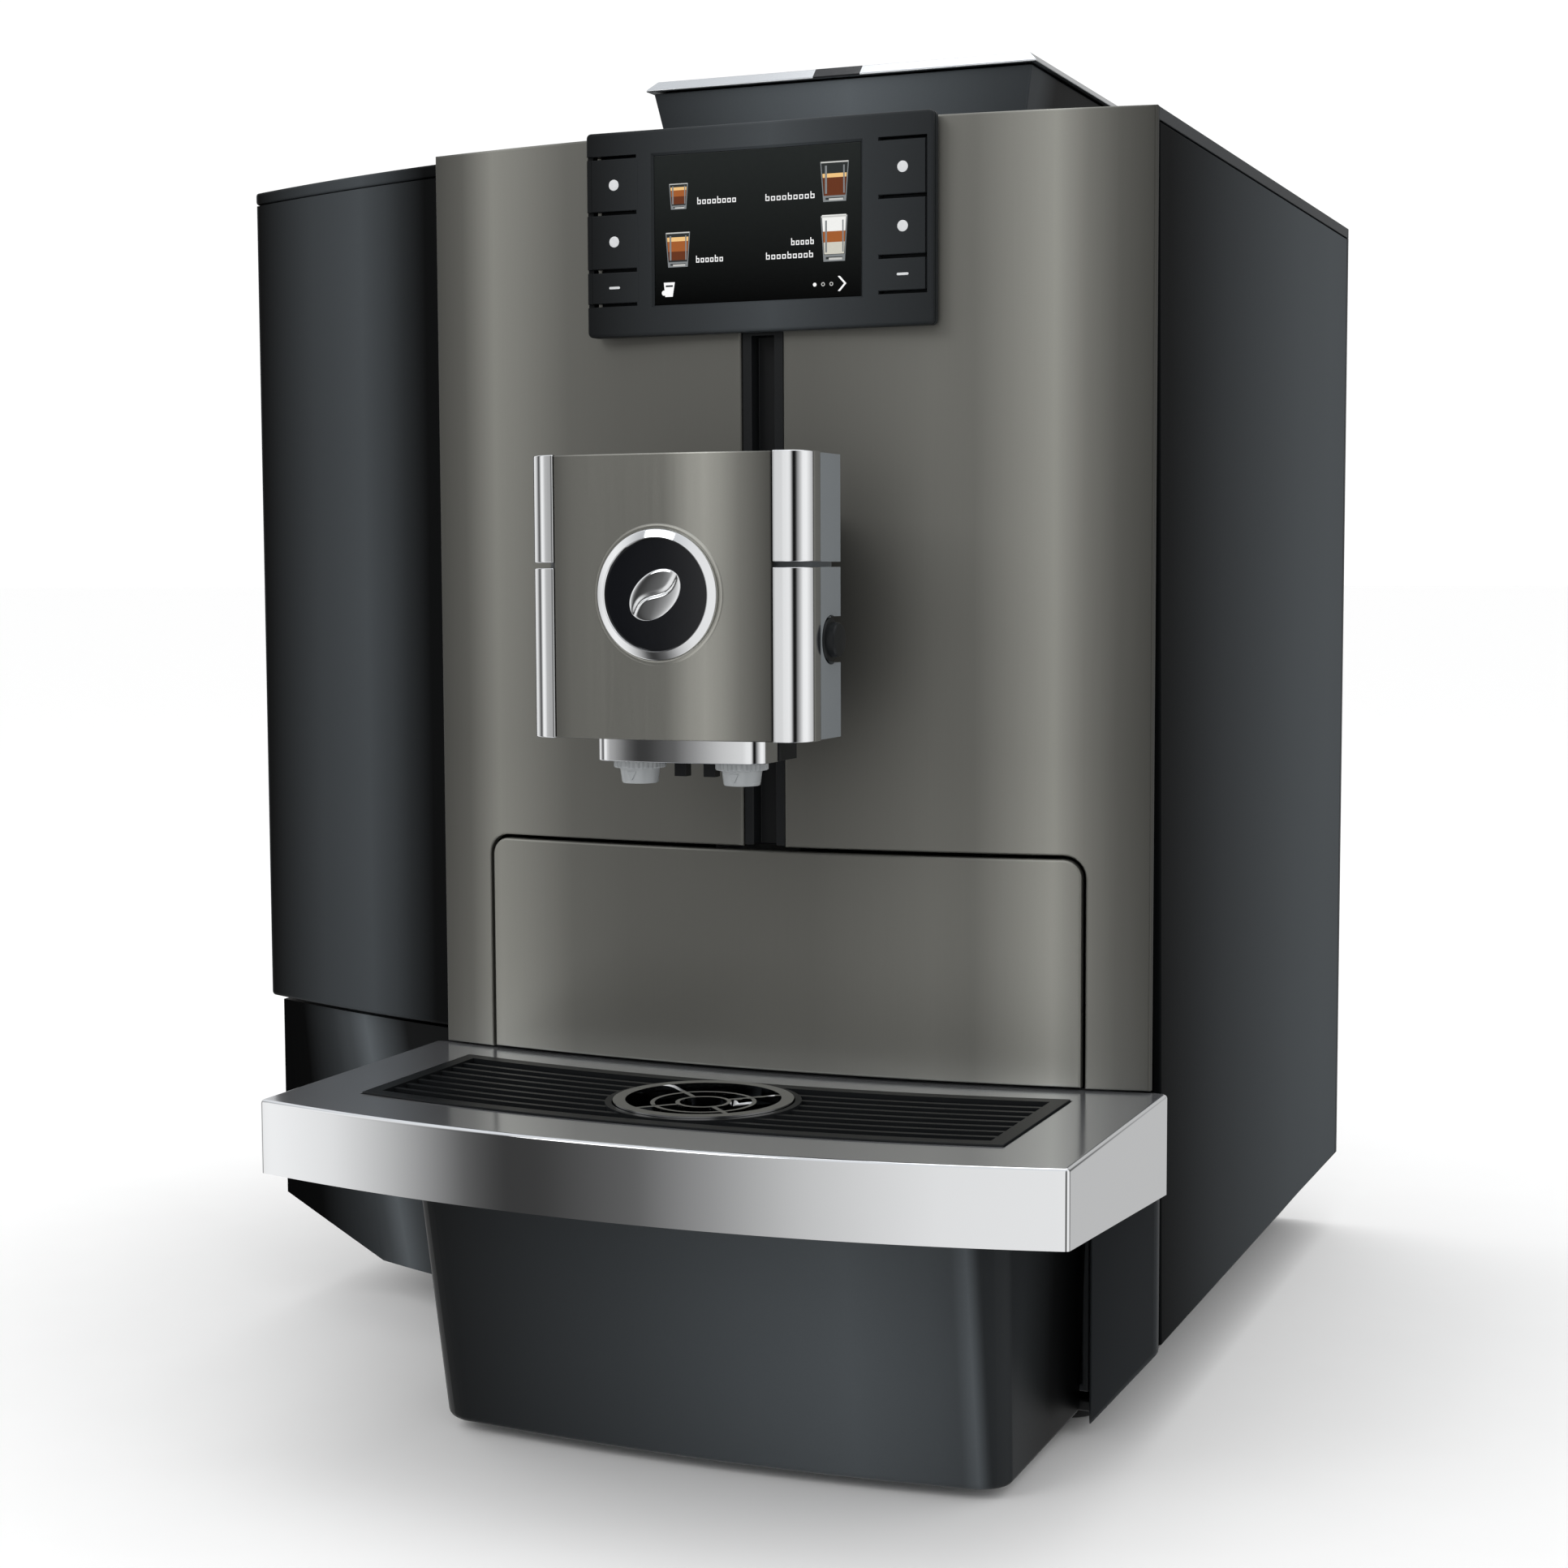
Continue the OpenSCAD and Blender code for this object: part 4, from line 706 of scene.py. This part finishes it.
def trim_strip(side, z0, z1):
    """Bright strip round the block's corner: bowed front, round corner, straight side."""
    corner_x, rear = BLOCK_HALF - BLOCK_CORNER, -180.5
    corner_y = SPOUT_CY - math.sqrt((SPOUT_R - BLOCK_CORNER) ** 2 - corner_x ** 2)
    start = math.asin((COVER_HALF + 0.4) / SPOUT_R)
    meet = math.atan2(corner_x, SPOUT_CY - corner_y)
    bm = bmesh.new()
    low, high = (bm.verts.new((SPOUT_R * math.sin(start), SPOUT_CY - SPOUT_R * math.cos(start), z))
                 for z in (z0, z1))
    edge = bm.edges.new((low, high))
    for centre, angle, steps in (((0, SPOUT_CY, 0), meet - start, 3),
                                 ((corner_x, corner_y, 0), math.pi / 2 - meet, 28)):
        spun = bmesh.ops.spin(bm, geom=[edge, *edge.verts], cent=centre, axis=(0, 0, 1), dvec=(0, 0, 0),
                              angle=angle, steps=steps, use_merge=False, use_duplicate=False)
        edge = next(e for e in spun["geom_last"] if isinstance(e, bmesh.types.BMEdge))
    drawn = bmesh.ops.extrude_edge_only(bm, edges=[edge])
    for v in drawn["geom"]:
        if isinstance(v, bmesh.types.BMVert):
            v.co.y = rear
    bmesh.ops.remove_doubles(bm, verts=bm.verts, dist=0.0005)
    bmesh.ops.recalc_face_normals(bm, faces=bm.faces)
    middle = min(bm.faces, key=lambda f: f.calc_center_median().y)
    if middle.normal.y > 0:
        bmesh.ops.reverse_faces(bm, faces=bm.faces)
    bmesh.ops.solidify(bm, geom=bm.faces[:], thickness=1.5)
    bmesh.ops.recalc_face_normals(bm, faces=bm.faces)
    soften(bm, 0.35, 3, 50.0)
    bmesh.ops.scale(bm, vec=(side, 1, 1), verts=bm.verts)
    if side < 0:
        bmesh.ops.reverse_faces(bm, faces=bm.faces)
    bmesh.ops.translate(bm, verts=bm.verts, vec=(FRONT_X, 0, 0))
    return bm


def make_spout():
    """The block: two plated trims on each side, the lacquered cover, the body and the part behind."""
    for name, z0, z1 in (("spout_trim_upper", 292.3, 325.5), ("spout_trim_lower", BLOCK_LOW, 290.7)):
        finished(name + "_piece", joined(trim_strip(-1, z0, z1), trim_strip(1, z0, z1)),
                 FINISHES["bright_chrome"], "spout", [name])
    cover = slab(rounded(centred(COVER_HALF, BLOCK_LOW + 0.2, 325.3), 0.4, 2), "Y", SPOUT_Y, SPOUT_Y + 2.4)
    soften(cover, 0.45, 3, where=lambda mid, way: mid.y < SPOUT_Y + 0.2)
    bow(cover, FRONT_X, SPOUT_CY, SPOUT_R, 1.5)
    finished("spout_cover_piece", cover, COVER_METAL, "spout_front", ["spout_cover"])
    body = carved(copied("spout_body"),
                  box(FRONT_X + 43.8, FRONT_X + 60.0, -171.0, -160.0, 261.4, 275.6))
    finished("spout_body_piece", body, FINISHES["grey_plastic"], "spout", ["spout_body"], 0.4)
    from_node("spout_carriage", "spout", "deep_black", 0.4)
    make_chin()


def chin_form(inset, low, high):
    """A solid with a bowed front and round front corners, drawn in by the inset."""
    half, front, rear = 28.5 - inset, -186.5 + inset, -170.0 + inset
    corner, bow_radius = 5.0 - inset, 125.0
    form = slab(rounded(centred(half, front, rear), [corner, corner, 0, 0], 10), "Z", low, high)
    cuts(form, FRONT_X - half, FRONT_X + half, 1.5)
    for v in form.verts:
        share = (rear - v.co.y) / (rear - front)
        v.co.y += share * (arc_y(v.co.x, FRONT_X, 0.0, bow_radius) + bow_radius)
    return form


def make_chin():
    """The plated band under the block, a hollow frame with a thin wall."""
    band = carved(chin_form(0.0, 230.5, BLOCK_LOW), chin_form(1.2, 229.0, BLOCK_LOW + 2.0))
    finished("spout_chin_piece", band, FINISHES["bright_chrome"], "spout",
             ["spout_chin"], 0.2)


def make_badge():
    """A plated ring in a lacquered collar, a dark domed disc and a coffee bean on it."""
    z, front = 282.5, -198.6
    ring = turned([(17.1, -1.6), (17.1, 0.0), (17.25, 0.22), (17.5, 0.27), (19.6, -0.53), (19.9, -0.7),
                   (20.0, -1.0), (20.0, -1.6), (19.6, -1.9), (17.6, -1.9), (17.1, -1.6)],
                  (FRONT_X, front + 0.25, z), "Y", 128)
    halo = turned([(20.1, -1.2), (20.1, 0.15), (20.4, 0.32), (21.0, 0.32), (21.5, 0.1), (21.9, -0.3),
                   (21.9, -1.2), (20.1, -1.2)], (FRONT_X, SPOUT_Y, z), "Y", 128)
    for v in halo.verts:
        v.co.y += arc_y(v.co.x, FRONT_X, SPOUT_CY, SPOUT_R) - SPOUT_Y
    finished("badge_halo", halo, COVER_METAL, "spout_front")
    finished("badge_ring_piece", ring, FINISHES["bright_chrome"], "spout_front",
             ["badge_ring"])
    disc = turned([(0, 0.75), (6, 0.70), (11, 0.52), (15, 0.22), (17.0, 0), (17.2, -0.2), (17.2, -0.8),
                   (0, -0.8)], (FRONT_X, front + 0.75, z), "Y", 96)
    finished("badge_disc_piece", disc, GLOSS_BLACK, "spout_front", ["badge_disc"])
    bean = bmesh.new()
    bmesh.ops.create_uvsphere(bean, u_segments=72, v_segments=48, radius=1.0)
    for v in bean.verts:
        groove = abs(v.co.z + 0.22 * math.sin(v.co.x * 3.4))
        dent = max(0.0, 1.0 - groove / 0.17)
        v.co.y *= 1.0 - 0.85 * dent * dent * (3 - 2 * dent)
    bmesh.ops.scale(bean, vec=(9.6, 0.75, 6.6), verts=bean.verts)
    bmesh.ops.rotate(bean, verts=bean.verts, cent=(0, 0, 0),
                     matrix=Matrix.Rotation(math.radians(-38), 3, "Y"))
    bmesh.ops.translate(bean, verts=bean.verts, vec=(FRONT_X, front + 0.15, z))
    finished("badge_bean", bean, FINISHES["bright_chrome"], "spout_front", crease=70.0)


def make_outlets():
    """Two nozzles with ribbed collars, and the round cap on the block's side."""
    ribs, collar_radius = 96, 7.9
    for side, hand in ((-1, "left"), (1, "right")):
        x, y, z = FRONT_X + side * 17.5, -173.0, 230.7
        bm = turned([(3.2, 3), (5.0, 3), (5.0, 0.05), (8.0, 0), (8.3, -0.3), (8.3, -2.4), (8.0, -2.75),
                     (6.6, -2.8), (6.35, -3.2), (5.75, -7.2), (5.45, -7.6), (4.4, -7.6), (3.6, -7.0),
                     (3.2, 3)], (x, y, z), "Z", ribs)
        for v in bm.verts:
            away = Vector((v.co.x - x, v.co.y - y, 0))
            if away.length > collar_radius:
                turn = round(math.atan2(away.y, away.x) / (2 * math.pi) * ribs)
                if turn % 3 == 0:
                    v.co -= away.normalized() * 0.35
        mark = slab([(x - 1.5, 226.9), (x + 1.5, 226.9), (x, 224.2)], "Y", y - 6.35, y - 5.6)
        finished(f"nozzle_{hand}_piece", joined(bm, mark), FINISHES["clear_grey"],
                 f"{hand}_outlet", [f"nozzle_{hand}"])
    cap = turned([(0, 6.0), (3.9, 5.9), (4.9, 5.7), (5.3, 5.2), (5.4, 3.2), (6.4, 3.0), (6.75, 2.6),
                  (6.8, 1.2), (6.5, 0.9), (6.5, 0.5), (6.8, 0.2), (6.6, -0.2), (5.0, -0.4), (5.0, -8.0),
                  (0, -8.0)], (95.7, -172.0, 268.5), "X", 72)
    finished("milk_port_cap_piece", cap, FINISHES["deep_black"], "port_cap",
             ["milk_port_cap"])


# ---- Drip tray drawer ----

TRAY_HALF = 135.0


def tray_front(inset, count=72):
    """Points along the tray's bowed nose from left to right."""
    half = TRAY_HALF - inset
    return [(FRONT_X + x, arc_y(FRONT_X + x, FRONT_X, TRAY_CY, TRAY_R - inset))
            for x in [-half + 2 * half * i / count for i in range(count + 1)]]


def grille_outline(grow):
    """The grille's bowed outline, made larger all round."""
    half, front_y, rear_y = 109.0 + grow, -204.5, -133.5
    xs = [FRONT_X - half + 2 * half * i / 48 for i in range(49)]
    front = [(x, arc_y(x, FRONT_X, front_y + TRAY_R, TRAY_R + grow)) for x in xs]
    rear = [(x, arc_y(x, FRONT_X, rear_y + TRAY_R, TRAY_R - grow)) for x in reversed(xs)]
    return front + rear


def make_tray():
    """The plated nose and sides in one sheet with the polished deck, open for the grille."""
    rear, nose_low, side_low = -100.0, 96.5, 87.5
    outline = tray_front(0.0) + [(FRONT_X + TRAY_HALF, rear), (FRONT_X - TRAY_HALF, rear)]
    bm = bmesh.new()
    edges = []
    for loop in (outline, grille_outline(0.6)):
        verts = [bm.verts.new((x, y, TRAY_TOP)) for x, y in loop]
        ring = [bm.edges.new(pair) for pair in zip(verts, verts[1:] + verts[:1])]
        edges.append(ring)
    bmesh.ops.triangle_fill(bm, edges=edges[0] + edges[1], use_beauty=True, use_dissolve=False)
    skirt = [e for e in edges[0] if not all(abs(v.co.y - rear) < 0.01 for v in e.verts)]
    drawn = bmesh.ops.extrude_edge_only(bm, edges=skirt)
    for v in drawn["geom"]:
        if isinstance(v, bmesh.types.BMVert):
            v.co.z = nose_low if v.co.y < -190.0 else side_low
    bmesh.ops.recalc_face_normals(bm, faces=bm.faces)
    top = max(bm.faces, key=lambda f: f.calc_area() if abs(f.normal.z) > 0.9 else 0)
    if top.normal.z < 0:
        bmesh.ops.reverse_faces(bm, faces=bm.faces)
    soften(bm, 1.3, 4, 50.0)
    bmesh.ops.solidify(bm, geom=bm.faces[:], thickness=1.5)
    bmesh.ops.recalc_face_normals(bm, faces=bm.faces)
    for face in bm.faces:
        if face.normal.z > 0.97:
            face.material_index = 1
    finished("tray_rim_piece", bm, [FINISHES["bright_chrome"], POLISHED_DECK], "drawer",
             ["tray_rim"], crease=40.0)


def make_bin():
    """The leaning bin under the tray, the open box behind it and the shallow pan above it."""
    top, low, lean = 97.0, 4.0, math.tan(math.radians(10))
    front, rear = -185.0, -79.0
    bm = box(FRONT_X - 100.0, FRONT_X + 100.0, front, rear, low, top)
    soften(bm, 11.0, 10, where=lambda mid, way: abs(way.z) > 0.9 and mid.y < -150)
    soften(bm, 2.2, 4, 60.0, where=lambda mid, way: mid.z < low + 0.01 and mid.y < rear - 0.5)
    bow(bm, FRONT_X, front + 600.0, 600.0, 3.0, share=lambda co: (rear - co.y) / (rear - front))
    for v in bm.verts:
        share = (rear - v.co.y) / (rear - front)
        v.co.y += (96.5 - v.co.z) * lean * share
        v.co.x = FRONT_X + (v.co.x - FRONT_X) * (1 + 0.04 * (v.co.z - low) / 112.5)
    bmesh.ops.delete(bm, geom=[f for f in bm.faces if f.normal.z > 0.9], context="FACES_ONLY")
    bmesh.ops.delete(bm, geom=[f for f in bm.faces if all(abs(v.co.y - rear) < 0.1 for v in f.verts)],
                     context="FACES_ONLY")
    bmesh.ops.solidify(bm, geom=bm.faces[:], thickness=2.4)
    bmesh.ops.recalc_face_normals(bm, faces=bm.faces)
    rear_box = carved(box(FRONT_X - 103.5, FRONT_X + 103.5, rear, 52.0, 12.0, 116.5),
                      box(FRONT_X - 101.0, FRONT_X + 101.0, rear - 5, 49.5, 14.5, 120.0),
                      box(FRONT_X - 60.0, FRONT_X + 60.0, 40.0, 60.0, 100.0, 120.0))
    pan_outer = tray_front(1.8, 40) + [(184.7, -101.0), (-81.7, -101.0)]
    pan = slab(pan_outer, "Z", 97.5, 116.5)
    pan = carved(pan, slab(tray_front(3.8, 40) + [(182.7, -95.0), (-79.7, -95.0)], "Z", 99.5, 120.0),
                 box(FRONT_X - 98.0, FRONT_X + 98.0, -172.0, -90.0, 90.0, 105.0))
    finished("drip_tray_piece", bm, BIN_BLACK, "drawer", ["drip_tray"])
    finished("drip_tray_rear", rear_box, FINISHES["satin_black"], "drawer", edge=0.6)
    finished("drip_tray_pan", pan, FINISHES["satin_black"], "drawer", edge=0.5)


def make_drawer_front():
    """The bowed sheet behind the tray, with two legs to the box."""
    front = -114.3
    bm = slab(rounded(centred(107.5, 121.5, 196.0), [0, 0, 6.0, 6.0], 8), "Y", front, front + 3.0)
    soften(bm, 0.9, 3, where=lambda mid, way: mid.y < front + 0.3)
    bow(bm, FRONT_X, PANEL_CY, PANEL_R, 2.5)
    legs = [box(FRONT_X + x, FRONT_X + x + 20.0, -110.5, -94.1, 131.5, 181.5) for x in (-45.0, 25.0)]
    finished("drawer_front_piece", joined(bm, *legs), PANEL_METAL, "drawer",
             ["drawer_front"])


def make_grille():
    """The slotted grille and the plated ring that a cup stands on."""
    from_node("drip_grille", "grille", "deep_black", 0.3)
    from_node("grille_ring", "cup_ring", "bright_chrome", 0.7)


# ---- Water tank ----

def tank_outline(inset, count=36):
    """The tank from above: a bowed front from left to right, then the square back."""
    x0, x1 = TANK_X[0] + inset, TANK_X[1] - inset
    front = [(x, arc_y(x, TANK_BOW[0], TANK_BOW[1], TANK_BOW[2] - inset))
             for x in [x0 + (x1 - x0) * i / count for i in range(count + 1)]]
    return front + [(x1, TANK_REAR - inset), (x0, TANK_REAR - inset)]


def make_tank():
    """The tank, a shell with a valve collar, and its lid on a round hinge bar."""
    low, top, wall = 123.5, 430.0, 2.5
    shell = slab(tank_outline(0.0), "Z", low, top)
    soften(shell, 1.6, 4, 50.0, where=lambda mid, way: mid.z < top - 0.1)
    inside = slab(tank_outline(wall), "Z", low + 4.0, top + 10.0)
    bore = turned([(0, -5), (7, -5), (7, 5), (0, 5)], (*TANK_VALVE, low + 1.5), "Z", 40)
    shell = carved(shell, inside, bore)
    collar = turned([(7, -5), (10, -5), (10, 9), (9.6, 9.4), (7.4, 9.4), (7, 9), (7, -5)],
                    (*TANK_VALVE, low), "Z", 48)
    finished("water_tank_piece", joined(shell, collar), TANK_BLACK, "tank",
             ["water_tank"])
    lid = slab(tank_outline(0.0), "Z", top + 0.4, BODY_TOP)
    soften(lid, 1.2, 4, 50.0)
    skirt = carved(slab(tank_outline(3.1), "Z", top - 4.0, top + 0.5),
                   slab(tank_outline(5.1), "Z", top - 5.0, top + 0.2))
    barrel = turned([(0, 0), (2.0, 0), (2.0, 63.5), (0, 63.5)], (-166.5, TANK_REAR, 433.0), "X", 24)
    finished("tank_lid_piece", joined(lid, skirt, barrel), TANK_BLACK, "tank_flap",
             ["tank_lid"])


def dock_form(inset, low):
    """The dock's solid, its outer foot cut away aslant and its front bowed like the tank."""
    x0, x1, top, knee = -183.5 + inset, TANK_X[1] - inset, 121.5 - inset, 44.0
    outline = [(x0, top), (x0, knee), (x0 + 33.0, low), (x1, low), (x1, top)]
    bm = slab(outline, "Y", -100.0, TANK_REAR - inset)
    cuts(bm, x0, x1, 3.0)
    for v in bm.verts:
        if v.co.y < -99.0:
            radius = TANK_BOW[2] - 5.0 - inset - max(0.0, knee - v.co.z)
            v.co.y = arc_y(v.co.x, TANK_BOW[0], TANK_BOW[1], radius)
    return bm


def make_dock():
    """The hollow dock under the tank, with a seat for the tank's valve."""
    dock = carved(dock_form(0.0, 15.0), dock_form(3.0, 10.0),
                  turned([(0, -9), (10.4, -9), (10.4, 9), (0, 9)], (*TANK_VALVE, 119.0), "Z", 40))
    finished("tank_dock_piece", dock, DOCK_BLACK, "housing", ["tank_dock"], 0.9)


# ---- Lid, hopper and the small visible parts ----

def make_top_parts():
    """The hopper, its lid with the plated rim and finger grip, the powder lid and the power key."""
    from_node("bean_hopper", "housing", "deep_black", 0.8, HOPPER_BLACK)
    from_node("bean_lid", "hopper_lid", "satin_black", 0.8)
    (left, right), (front, rear), width, slope = LID_X, LID_Y, 5.0, 3.3
    rim = slab(rectangle(left, right, front, rear), "Z", LID_TOP - 4.0, LID_TOP,
               [rectangle(left + width, right - width, front + width, rear - width)])
    soften(rim, slope, 1, 50.0, where=lambda mid, way: mid.z > LID_TOP - 0.1 and not (
        left + 3.0 < mid.x < right - 3.0 and front + 3.0 < mid.y < rear - 3.0))
    finished("lid_rim_piece", rim, RIM_CHROME, "hopper_lid", ["lid_rim"], 0.25)
    grip = slab([(front - 0.08, 466.2), (front - 0.08, 466.72), (front + 3.2, LID_TOP),
                 (front + 3.0, LID_TOP - 0.6), (front + 0.5, 466.2)], "X", 35.0, 53.0)
    finished("lid_grip", grip, GLOSS_BLACK, "hopper_lid")
    from_node("powder_lid", "powder_flap", "satin_black", 0.35)
    knob = turned([(0, 3.35), (4.5, 3.25), (6.2, 3.0), (6.85, 2.5), (7.0, 1.8), (7.0, -4), (9, -4),
                   (9, -6), (0, -6)], (*POWER_KEY, 432.0), "Z", 64)
    finished("power_key_piece", knob, FINISHES["satin_black"], "on_key", ["power_key"])


def make_rear_and_base():
    """The CAD pieces that only need softer edges: back, base, rail, mains parts and feet."""
    from_node("rear_cover", "housing", "satin_black", 0.8)
    from_node("base_plate", "housing", "deep_black", 0.6)
    from_node("lower_cheeks", "housing", "satin_black", 1.0)
    from_node("rail_strip", "housing", "deep_black", 0.3)
    from_node("mains_inlet", "housing", "deep_black", 0.3)
    from_node("power_rocker", "mains_switch", "deep_black", 0.5)
    from_node("feet", "housing", "rubber_black", 0.6)


def dress_works():
    """The inner works keep their CAD form and take their slot's finish."""
    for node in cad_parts.values():
        for place in node.material_slots:
            if place.material and place.material.name in FINISHES:
                place.material = FINISHES[place.material.name]


# ---- Studio ----

def make_floor():
    """A wide pale floor that polished parts don't reflect."""
    bm = bmesh.new()
    bmesh.ops.create_grid(bm, x_segments=8, y_segments=8, size=40.0)
    mesh = bpy.data.meshes.new("studio_floor")
    bm.to_mesh(mesh)
    bm.free()
    floor = bpy.data.objects.new("studio_floor", mesh)
    paper = Finish("studio_paper", Specular_IOR_Level=0.1)
    fibre = paper.noise(30.0, 3.0)
    paper.feed(Base_Color=paper.blend((0.935, 0.935, 0.935), (0.955, 0.955, 0.955), fibre),
               Roughness=0.9 + fibre * 0.05)
    mesh.materials.append(paper.material)
    bpy.context.scene.collection.objects.link(floor)
    floor.visible_glossy = False


def make_light(name, size, place, aim, power):
    """A square soft light in metres and watts, turned to the point it aims at."""
    light = bpy.data.lights.new(name, "AREA")
    light.shape, light.size = "SQUARE", size
    light.energy = power
    lamp = bpy.data.objects.new(name, light)
    lamp.location = place
    lamp.rotation_euler = (Vector(aim) - Vector(place)).to_track_quat("-Z", "Y").to_euler()
    lamp.visible_camera = False
    bpy.context.scene.collection.objects.link(lamp)


# How bright the room is in each direction, as a polished part mirrors it: (degrees, strength).
# Nought degrees is straight ahead of the machine's front, and plus 90 is on the side of the right
# side panel. The two ends meet behind the machine. A ramp holds no more than 32 stops.
ROOM_RING = [
    (-180, 0.45), (-152, 0.50), (-125, 0.85), (-103, 0.80), (-90, 0.30), (-81, 0.05), (-75, 0.30),
    (-68, 0.92), (-62, 1.00), (-55, 0.85), (-49, 0.56), (-44, 0.28), (-40.5, 0.11), (-37, 0.045),
    (-33, 0.05), (-24, 0.13), (-17, 0.33), (-9, 0.60), (-3, 0.74), (3, 0.86), (24, 0.92), (32, 0.75),
    (37, 0.30), (42, 0.01), (51, 0.01), (59, 0.25), (82, 0.95), (98, 1.00), (128, 0.60), (145, 0.08),
    (158.5, 0.01), (163, 0.55)]
ROOM_ABOVE = (0.80, 0.82, 0.85, 1.0)
ROOM_PLAIN = (1.06, 1.06, 1.06, 1.0)


def make_world():
    """Even pale surroundings, which polished parts mirror as a room of light and dark screens."""
    world = bpy.data.worlds.new("studio")
    bpy.context.scene.world = world
    world.use_nodes = True
    out = world.node_tree.nodes["Background"]
    room = Nodes(world.node_tree)
    way = room.node("ShaderNodeSeparateXYZ", {}, {"Vector": room.node("ShaderNodeTexCoord", out="Generated")})
    x, y, z = (Wire(room, socket) for socket in way.socket.node.outputs)
    turn = room.node("ShaderNodeMath", {"operation": "ARCTAN2"}, {0: x, 1: y * -1.0})
    ring = room.node("ShaderNodeValToRGB", {"stops": [((a + 180) / 360, v) for a, v in ROOM_RING]},
                     {"Fac": turn * (0.5 / math.pi) + 0.5})
    over = room.node("ShaderNodeMapRange", {"interpolation_type": "SMOOTHSTEP"}, {
        "Value": z, "From Min": 0.35, "From Max": 0.8})
    mirrored = room.node("ShaderNodeMix", {"data_type": "RGBA"}, {
        "Factor": over, 6: ring, 7: ROOM_ABOVE}, out=2)
    gloss = room.node("ShaderNodeLightPath", out="Is Glossy Ray")
    shown = room.node("ShaderNodeMix", {"data_type": "RGBA"}, {
        "Factor": gloss, 6: ROOM_PLAIN, 7: mirrored}, out=2)
    room.tree.links.new(shown.socket, out.inputs["Color"])
    out.inputs["Strength"].default_value = 1.0


LENS, SENSOR = 60.16, 36.0
CAMERA_PLACE = (0.3899, -0.9197, 0.2901)
CAMERA_TURN, CAMERA_TILT, CAMERA_ROLL = 22.337, -4.689, -0.235     # degrees


def make_camera():
    """The camera in front and to the right of the machine, looking slightly down."""
    lens = bpy.data.cameras.new("camera")
    lens.lens, lens.sensor_width = LENS, SENSOR
    lens.clip_start, lens.clip_end = 0.05, 200.0
    camera = bpy.data.objects.new("camera", lens)
    camera.location = CAMERA_PLACE
    aim = (Matrix.Rotation(math.radians(CAMERA_TURN), 3, "Z")
           @ Matrix.Rotation(math.radians(90.0 + CAMERA_TILT), 3, "X")
           @ Matrix.Rotation(math.radians(CAMERA_ROLL), 3, "Z"))
    camera.rotation_euler = aim.to_euler()
    bpy.context.scene.collection.objects.link(camera)
    bpy.context.scene.camera = camera


def make_studio():
    """Floor, room, two soft lights and the camera."""
    make_floor()
    make_world()
    make_light("front_softbox", 0.9, (-0.9, -2.0, 1.5), (0.0, 0.0, 0.25), 7.0)
    make_light("top_softbox", 1.4, (0.2, 0.3, 2.2), (0.0, 0.0, 0.2), 8.0)
    make_camera()
    bpy.context.scene.view_settings.view_transform = "Standard"


make_studio()
dress_works()
make_front_panel()
make_side_panels()
make_top_cover()
make_display()
make_keys()
make_screen_pictures()
make_spout()
make_badge()
make_outlets()
make_tray()
make_bin()
make_drawer_front()
make_grille()
make_tank()
make_dock()
make_top_parts()
make_rear_and_base()
